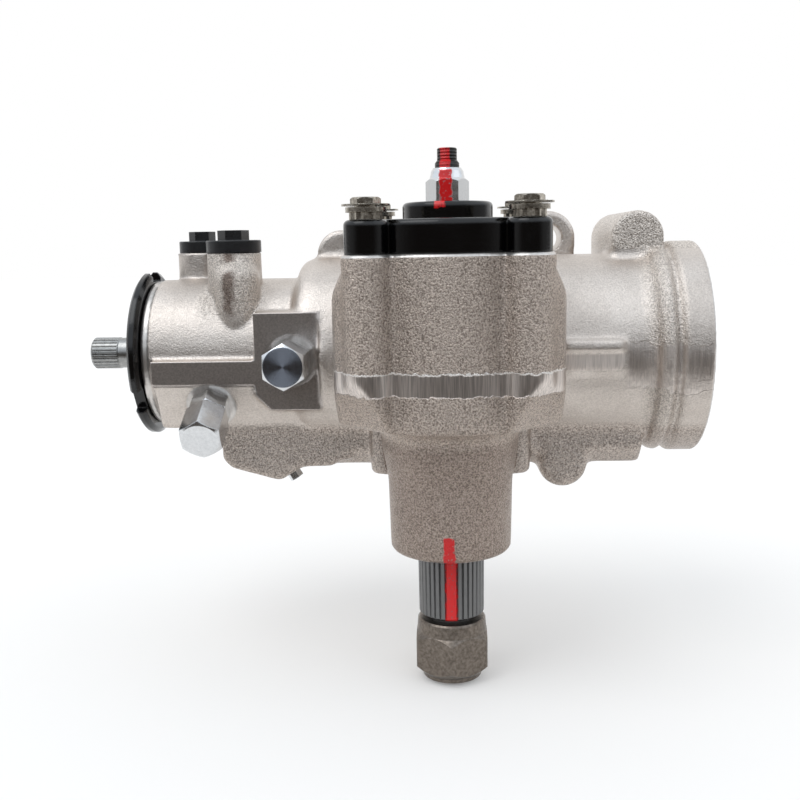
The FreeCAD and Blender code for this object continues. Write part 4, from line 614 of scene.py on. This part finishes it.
def cast_tone(shader, masks, fine, lines):
    """Colour of the casting: cloudy skin with sand grit, a painted dark reflection down the front port's
    boss, then the places that tools have worked.
    """
    tone = shader.clouded(shader.noise(CLOUD_SCALE, 4.0), CAST_DARK, CAST_COLOR, CLOUD_RANGE)
    grit = shader.clouded(fine, GRAIN_DARK, GRAIN_LIGHT, GRIT_RANGE)
    grit_share = shader.math("MULTIPLY", shader.toward(PLAIN_GRIT, masks.coarse, COARSE_GRIT), masks.skin)
    tone = shader.mixed(grit_share, tone, grit)
    tone = shader.shaded(masks.body, tone, BODY_SHADE)
    tone = shader.shaded(masks.low, tone, LOW_SHADE)
    # Painted reflection: the dark stripe down the front port's boss
    tone = shader.shaded(masks.stripe, tone, PAINTED_REFLECTION_SHADE)
    tone = shader.mixed(masks.land, tone, shader.clouded(lines, LAND_DARK, LAND_COLOR))
    tone = shader.mixed(masks.ground, tone, shader.clouded(lines, GROUND_DARK, GROUND_COLOR))
    milled = shader.noise(MILLED_SCALE, 2.0, 0.5, shader.stretched(MILLED_STRETCH))
    tone = shader.mixed(masks.turned, tone, shader.clouded(milled, TURNED_DARK, TURNED_COLOR))
    specks = shader.noise(SPECK_SCALE)
    tone = shader.mixed(masks.flat, tone, shader.clouded(specks, FLAT_DARK, FLAT_COLOR))
    return shader.mixed(masks.flash, tone, FLASH_COLOR)


def cast_metal():
    shader = Shader("cast_nickel", CAST_COLOR, CAST_METALLIC, WORKED_ROUGHNESS)
    masks = cast_masks(shader)
    fine = shader.noise(FINE_SCALE, 3.0, GRAIN_MIX)
    sand = shader.noise(SAND_SCALE, 3.0, GRAIN_MIX)
    lump = shader.noise(LUMP_SCALE)
    lines = shader.noise(LINE_SCALE, 2.0, 0.5, shader.stretched(LINE_STRETCH))
    painted(shader, cast_tone(shader, masks, fine, lines), CAST_METALLIC, BOSS_PAINT)

    rough = shader.span(lump, *NOISE_RANGE, *SKIN_ROUGHNESS)
    rough = shader.toward(rough, masks.worked, WORKED_ROUGHNESS)
    rough = shader.toward(rough, masks.land, LAND_ROUGHNESS)
    shader.roughness(rough)

    grain = shader.toward(fine, masks.lugs, sand)
    depth = shader.math("MULTIPLY", shader.toward(PLAIN_RELIEF, masks.coarse, 1.0), masks.skin)
    relief = shader.math("ADD", grain, shader.math("MULTIPLY", lump, LUMP_SHARE))
    shader.bump(shader.math("MULTIPLY", relief, depth), RELIEF_DEPTH)
    scratched = shader.any_of(masks.ground, masks.land)
    shader.bump(shader.math("MULTIPLY", lines, scratched), LINE_DEPTH)
    return shader.material


def black_metal(name):
    shader = Shader(name, BLACK_METAL, 0.0, BLACK_METAL_ROUGHNESS[1])
    shader.rounded(BLACK_METAL_EDGE)
    shader.roughness(shader.span(shader.noise(BLACK_METAL_CLOUD, 4.0), *NOISE_RANGE, *BLACK_METAL_ROUGHNESS))
    shader.bump(shader.noise(BLACK_METAL_GRAIN), BLACK_METAL_DEPTH)
    return shader


def cover_metal():
    shader = black_metal("black_cover")
    painted(shader, BLACK_METAL, 0.0, COVER_PAINT)
    return shader.material


def black_plastic():
    shader = Shader("black_plastic", BLACK_PLASTIC, 0.0, BLACK_PLASTIC_ROUGHNESS[1])
    shader.rounded(BLACK_PLASTIC_EDGE)
    shader.roughness(shader.span(shader.noise(BLACK_PLASTIC_CLOUD), *NOISE_RANGE, *BLACK_PLASTIC_ROUGHNESS))
    shader.bump(shader.noise(BLACK_PLASTIC_GRAIN), BLACK_PLASTIC_DEPTH)
    return shader.material


def plated_steel(name, dark, light, low_rough, high_rough, scale=PLATE_CLOUD):
    shader = Shader(name, light, 1.0, low_rough)
    shader.rounded(PLATE_EDGE)
    shader.color(shader.clouded(shader.noise(scale), dark, light, PLATE_RANGE))
    shader.roughness(shader.span(shader.noise(PLATE_WEAR), *NOISE_RANGE, low_rough, high_rough))
    shader.bump(shader.noise(PLATE_GRAIN), PLATE_DEPTH)
    return shader


def waves(shader, source, pitch):
    """A wave along the source, for a thread or for turning rings."""
    return shader.math("SINE", shader.math("MULTIPLY", source, 2 * math.pi / pitch))


def adjuster_steel():
    shader = plated_steel("adjuster_black_steel", *SCREW_STEEL)
    shader.bump(waves(shader, shader.axes()[2], THREAD_PITCH), THREAD_DEPTH)
    painted(shader, SCREW_COLOR, 1.0, SCREW_PAINT)
    return shader.material


def lock_nut_steel():
    shader = plated_steel("lock_nut_zinc", *LOCK_NUT_ZINC)
    painted(shader, LOCK_NUT_COLOR, 1.0, NUT_PAINT)
    return shader.material


def spline_steel():
    shader = plated_steel("spline_steel", *SPLINE_STEEL)
    painted(shader, SPLINE_COLOR, 1.0, SPLINE_PAINT)
    return shader.material


def faced_cap(frame_box):
    """Zinc cap whose end is a dark face with turning rings."""
    low, high = frame_box
    shader = plated_steel("faced_cap", *FACED_ZINC)
    x, y, z = shader.axes()
    across = shader.math("SUBTRACT", x, (low.x + high.x) / 2)
    upward = shader.math("SUBTRACT", z, (low.z + high.z) / 2)
    across = shader.math("MULTIPLY", across, across)
    upward = shader.math("MULTIPLY", upward, upward)
    radius = shader.math("SQRT", shader.math("ADD", across, upward))
    rings = waves(shader, radius, FACE_RING_PITCH)
    face = shader.math("LESS_THAN", y, low.y + FACE_SKIN)
    dark = shader.clouded(rings, FACE_RING_DARK, FACE_RING_LIGHT, (-1.0, 1.0))
    shader.color(shader.mixed(face, FACED_COLOR, dark))
    shader.bump(shader.math("MULTIPLY", rings, face), FACE_RING_DEPTH)
    return shader.material


def dress(nodes):
    """Gives each CAD node its finish; the nodes that aren't named here are bare steel."""
    bolts = ("cover_bolts", "cover_bolt_collars", "cover_bolt_washers", "cover_bolt_clips")
    caps = ("upper_assist_adapter", "lower_assist_adapter", "lower_assist_cap", "bleed_screw")
    rubbers = (
        "front_port_cap", "rear_port_cap", "sector_inner_seal", "sector_outer_seal", "stub_seal",
        "stub_dust_seal", "adjuster_plug_seal", "end_plug_seal", "side_cover_seal")
    groups = (
        (cover_metal(), ("side_cover",)),
        (black_metal("black_ring").material, ("adjuster_lock_ring", "adjuster_plug")),
        (black_plastic(), rubbers),
        (adjuster_steel(), ("adjuster_screw",)),
        (lock_nut_steel(), ("adjuster_lock_nut",)),
        (spline_steel(), ("sector_shaft",)),
        (faced_cap(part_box("upper_assist_cap")), ("upper_assist_cap",)),
        (plated_steel("nut_phosphate", *NUT_PHOSPHATE).material, ("pitman_nut",)),
        (plated_steel("bolt_plating", *BOLT_PLATING).material, bolts),
        (plated_steel("stub_steel", *STUB_STEEL).material, ("stub_shaft",)),
        (plated_steel("turned_steel", *PLUG_STEEL).material, ("housing_end_plug",)),
        (plated_steel("cap_zinc", *CAP_ZINC).material, caps),
        (plated_steel("seat_brass", *SEAT_BRASS).material, ("front_port_seat", "rear_port_seat")),
    )
    wanted = {name: material for material, names in groups for name in names}
    steel = plated_steel("bare_steel", *BARE_STEEL).material
    for name, node in nodes.items():
        node.data.materials.clear()
        node.data.materials.append(wanted.get(name, steel))


# Casting

def gear_mm(points):
    """Row-frame metres to the gear frame's millimetres."""
    return points * 1000.0 + np.array(ROW_ORIGIN)


def mesh_points(mesh):
    points = np.empty(len(mesh.vertices) * 3)
    mesh.vertices.foreach_get("co", points)
    return points.reshape(-1, 3)


def move_points(mesh, points):
    mesh.vertices.foreach_set("co", points.ravel())
    mesh.update()


def remeshed(node):
    """The housing's solid as one even mesh."""
    mesh = node.data.copy()
    welded = bmesh.new()
    welded.from_mesh(mesh)
    bmesh.ops.remove_doubles(welded, verts=welded.verts, dist=WELD)
    welded.to_mesh(mesh)
    welded.free()
    piece = bpy.data.objects.new("housing_casting", mesh)
    bpy.context.scene.collection.objects.link(piece)
    modifier = piece.modifiers.new("remesh", "REMESH")
    modifier.mode = "VOXEL"
    modifier.voxel_size = VOXEL
    graph = bpy.context.evaluated_depsgraph_get()
    result = bpy.data.meshes.new_from_object(piece.evaluated_get(graph))
    piece.modifiers.clear()
    piece.data = result
    return piece


def machined_weight(place):
    """1 on cast skin that may soften, 0 on machined faces that stay as cut."""
    x, y, z = place[:, 0], place[:, 1], place[:, 2]
    kept = (z > COVER_SEAT_Z) & (np.abs(x) < COVER_SEAT_REACH) & (y < COVER_SEAT_REACH)
    kept |= x > FLANGE_FACE_X
    kept |= x < VALVE_FACE_X
    pad = (np.abs(y - PAD_FACE_Y) < PAD_FACE_DEPTH) & (x < PAD_FACE_EDGE_X)
    kept |= pad & (z > PAD_FACE_LOW) & (z < PAD_FACE_HIGH)
    kept |= z < BOSS_FACE_Z
    kept |= y > MOUNT_PAD_Y
    kept |= np.hypot(x - ROW_ORIGIN[0], z - ROW_ORIGIN[2]) < MOUNT_HOLE_R
    kept |= z > COVER_FACE_Z
    kept |= np.hypot(y - TUBE_AXIS_Y, z) < PISTON_BORE_R
    kept |= np.hypot(x, y) < SECTOR_BORE_R
    for base, direction in (UPPER_FITTING, LOWER_FITTING):
        offset = place - gear_mm(np.array(base))
        reach = np.linalg.norm(np.cross(offset, direction), axis=1)
        near = reach < 1000 * SPOTFACE_R + SPOTFACE_MARGIN
        kept |= near & (np.abs(offset @ direction) < SPOTFACE_DEPTH)
    kept &= ~((np.hypot(x, y) < BOSS_SKIN_R) & (z < BOSS_SKIN_HIGH) & (z > BOSS_SKIN_LOW))
    return np.where(kept, 0.0, 1.0)


def soften(mesh):
    """Rounds the joins between cast forms, as fillets in a sand mould do."""
    points = mesh_points(mesh)
    count = len(points)
    edges = np.empty(len(mesh.edges) * 2, int)
    mesh.edges.foreach_get("vertices", edges)
    first, second = edges.reshape(-1, 2).T
    weight = (machined_weight(gear_mm(points)) * SMOOTH_RATE)[:, None]
    valence = np.bincount(first, minlength=count) + np.bincount(second, minlength=count)
    valence = np.maximum(valence, 1)[:, None]
    for _ in range(SMOOTH_STEPS):
        total = np.empty_like(points)
        for axis in range(3):
            total[:, axis] = np.bincount(first, points[second, axis], count)
            total[:, axis] += np.bincount(second, points[first, axis], count)
        points = points + weight * (total / valence - points)
    move_points(mesh, points)


def window(source, low, high, edge):
    """1 between two values, falling smoothly to 0 over the edge inside both of them."""
    near = np.clip((source - low) / edge, 0.0, 1.0) * np.clip((high - source) / edge, 0.0, 1.0)
    return near * near * (3.0 - 2.0 * near)


def raise_forms(mesh):
    """Cast ring and groove beside the flange, and the tongue above the ground land."""
    points = mesh_points(mesh)
    place = gear_mm(points)
    outward = place * (0.0, 1.0, 1.0) - (0.0, TUBE_AXIS_Y, 0.0)
    reach = np.maximum(np.linalg.norm(outward, axis=1), 1.0)
    skin = window(reach, *TUBE_SKIN, TUBE_SKIN_EDGE)
    lift = RING_HEIGHT * window(place[:, 0], *RING_SPAN, RING_EDGE)
    lift -= GROOVE_DEPTH * window(place[:, 0], *GROOVE_SPAN, GROOVE_EDGE)
    front = outward[:, 1] < 0.0
    along = window(place[:, 0], *TONGUE_SPAN, TONGUE_END)
    lift += TONGUE_HEIGHT * front * along * window(place[:, 2], *TONGUE_RISE, TONGUE_EDGE)
    points += (skin * lift / reach / 1000.0)[:, None] * outward
    move_points(mesh, points)


def casting(nodes):
    piece = remeshed(nodes["gear_housing"])
    mesh = piece.data
    soften(mesh)
    raise_forms(mesh)
    mesh.materials.clear()
    mesh.materials.append(cast_metal())
    mesh.polygons.foreach_set("use_smooth", np.ones(len(mesh.polygons), bool))
    mesh.update()
    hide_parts("gear_housing")
    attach(piece, "housing")


# Stage, lights and camera

def floor():
    """Pale floor: it keeps the shadow, and its far part runs out into the white backdrop."""
    mesh = bpy.data.meshes.new("floor")
    reach = FLOOR_REACH
    edges = [(-reach, FLOOR_FRONT_Y), (reach, FLOOR_FRONT_Y), (reach, reach), (-reach, reach)]
    mesh.from_pydata([(x, y, FLOOR_Z - FLOOR_GAP) for x, y in edges], [], [(0, 1, 2, 3)])
    plane = bpy.data.objects.new("floor", mesh)
    bpy.context.scene.collection.objects.link(plane)
    shader = Shader("pale_floor", FLOOR_COLOR, 0.0, 1.0)
    shader.bsdf.inputs["Specular IOR Level"].default_value = 0.0
    path = shader.node("ShaderNodeLightPath")
    seen = shader.any_of(
        path.outputs["Is Camera Ray"], path.outputs["Is Glossy Ray"], path.outputs["Is Transmission Ray"])
    shader.bsdf.inputs["Emission Color"].default_value = (1.0, 1.0, 1.0, 1.0)
    shader.link(shader.math("MULTIPLY", seen, FLOOR_LIFT), shader.bsdf.inputs["Emission Strength"])
    mesh.materials.append(shader.material)


class Sky:
    """Small wrapper round the world's node tree."""

    def __init__(self):
        self.world = bpy.data.worlds.new("studio")
        bpy.context.scene.world = self.world
        self.world.use_nodes = True
        self.tree = self.world.node_tree
        coords = self.tree.nodes.new("ShaderNodeTexCoord")
        split = self.tree.nodes.new("ShaderNodeSeparateXYZ")
        self.tree.links.new(coords.outputs["Generated"], split.inputs[0])
        self.axes = split.outputs

    def rise(self, source, low, high):
        made = self.tree.nodes.new("ShaderNodeMapRange")
        made.interpolation_type = "SMOOTHSTEP"
        made.inputs["From Min"].default_value = low
        made.inputs["From Max"].default_value = high
        self.tree.links.new(source, made.inputs["Value"])
        return made.outputs["Result"]

    def mixed(self, factor, first, second):
        made = self.tree.nodes.new("ShaderNodeMix")
        made.data_type = "RGBA"
        self.tree.links.new(factor, made.inputs[0])
        for index, value in ((6, first), (7, second)):
            if isinstance(value, tuple):
                made.inputs[index].default_value = (*value, 1.0)
            else:
                self.tree.links.new(value, made.inputs[index])
        return made.outputs[2]

    def math(self, operation, first, second):
        made = self.tree.nodes.new("ShaderNodeMath")
        made.operation = operation
        self.tree.links.new(first, made.inputs[0])
        self.tree.links.new(second, made.inputs[1])
        return made.outputs[0]


def world():
    """Room that lights the object, with a white backdrop for the camera and for reflections of it."""
    sky = Sky()
    beside = sky.rise(sky.axes[1], ROOM_FRONT_EDGE, ROOM_SIDE_EDGE)
    above = sky.rise(sky.axes[2], ROOM_SIDE_TOP, ROOM_TOP_EDGE)
    behind = sky.rise(sky.axes[1], ROOM_BACK_START, ROOM_BACK_EDGE)
    room = sky.mixed(beside, ROOM_FRONT, ROOM_SIDE)
    room = sky.mixed(above, room, ROOM_TOP)
    room = sky.mixed(behind, room, ROOM_BACK)
    path = sky.tree.nodes.new("ShaderNodeLightPath")
    mirrored = sky.math("MAXIMUM", path.outputs["Is Glossy Ray"], path.outputs["Is Transmission Ray"])
    shown = sky.math("MAXIMUM", path.outputs["Is Camera Ray"], sky.math("MULTIPLY", mirrored, behind))
    lit = sky.tree.nodes["Background"]
    sky.tree.links.new(sky.mixed(shown, room, BACKDROP), lit.inputs["Color"])
    lit.inputs["Strength"].default_value = 1.0


def sun(name, place, strength, spread):
    lamp = bpy.data.lights.new(name, "SUN")
    lamp.energy = strength
    lamp.angle = math.radians(spread)
    made = bpy.data.objects.new(name, lamp)
    bpy.context.scene.collection.objects.link(made)
    made.location = place
    made.rotation_euler = (-Vector(place)).to_track_quat("-Z", "Y").to_euler()


def camera():
    data = bpy.data.cameras.new("camera")
    data.sensor_fit = "HORIZONTAL"
    data.sensor_width = CAMERA_SENSOR
    data.lens = CAMERA_LENS
    data.clip_start = CAMERA_CLIP
    made = bpy.data.objects.new("camera", data)
    bpy.context.scene.collection.objects.link(made)
    back = -Vector(CAMERA_FORWARD).normalized()
    right = Vector(CAMERA_RIGHT).normalized()
    turn = Matrix((right, back.cross(right), back)).transposed()
    made.matrix_world = Matrix.Translation(CAMERA_PLACE) @ turn.to_4x4()
    bpy.context.scene.camera = made


dress(frame["nodes"])
casting(frame["nodes"])
floor()
world()
sun("key", *KEY_SUN)
sun("fill", *FILL_SUN)
camera()
bpy.context.scene.view_settings.view_transform = "Standard"
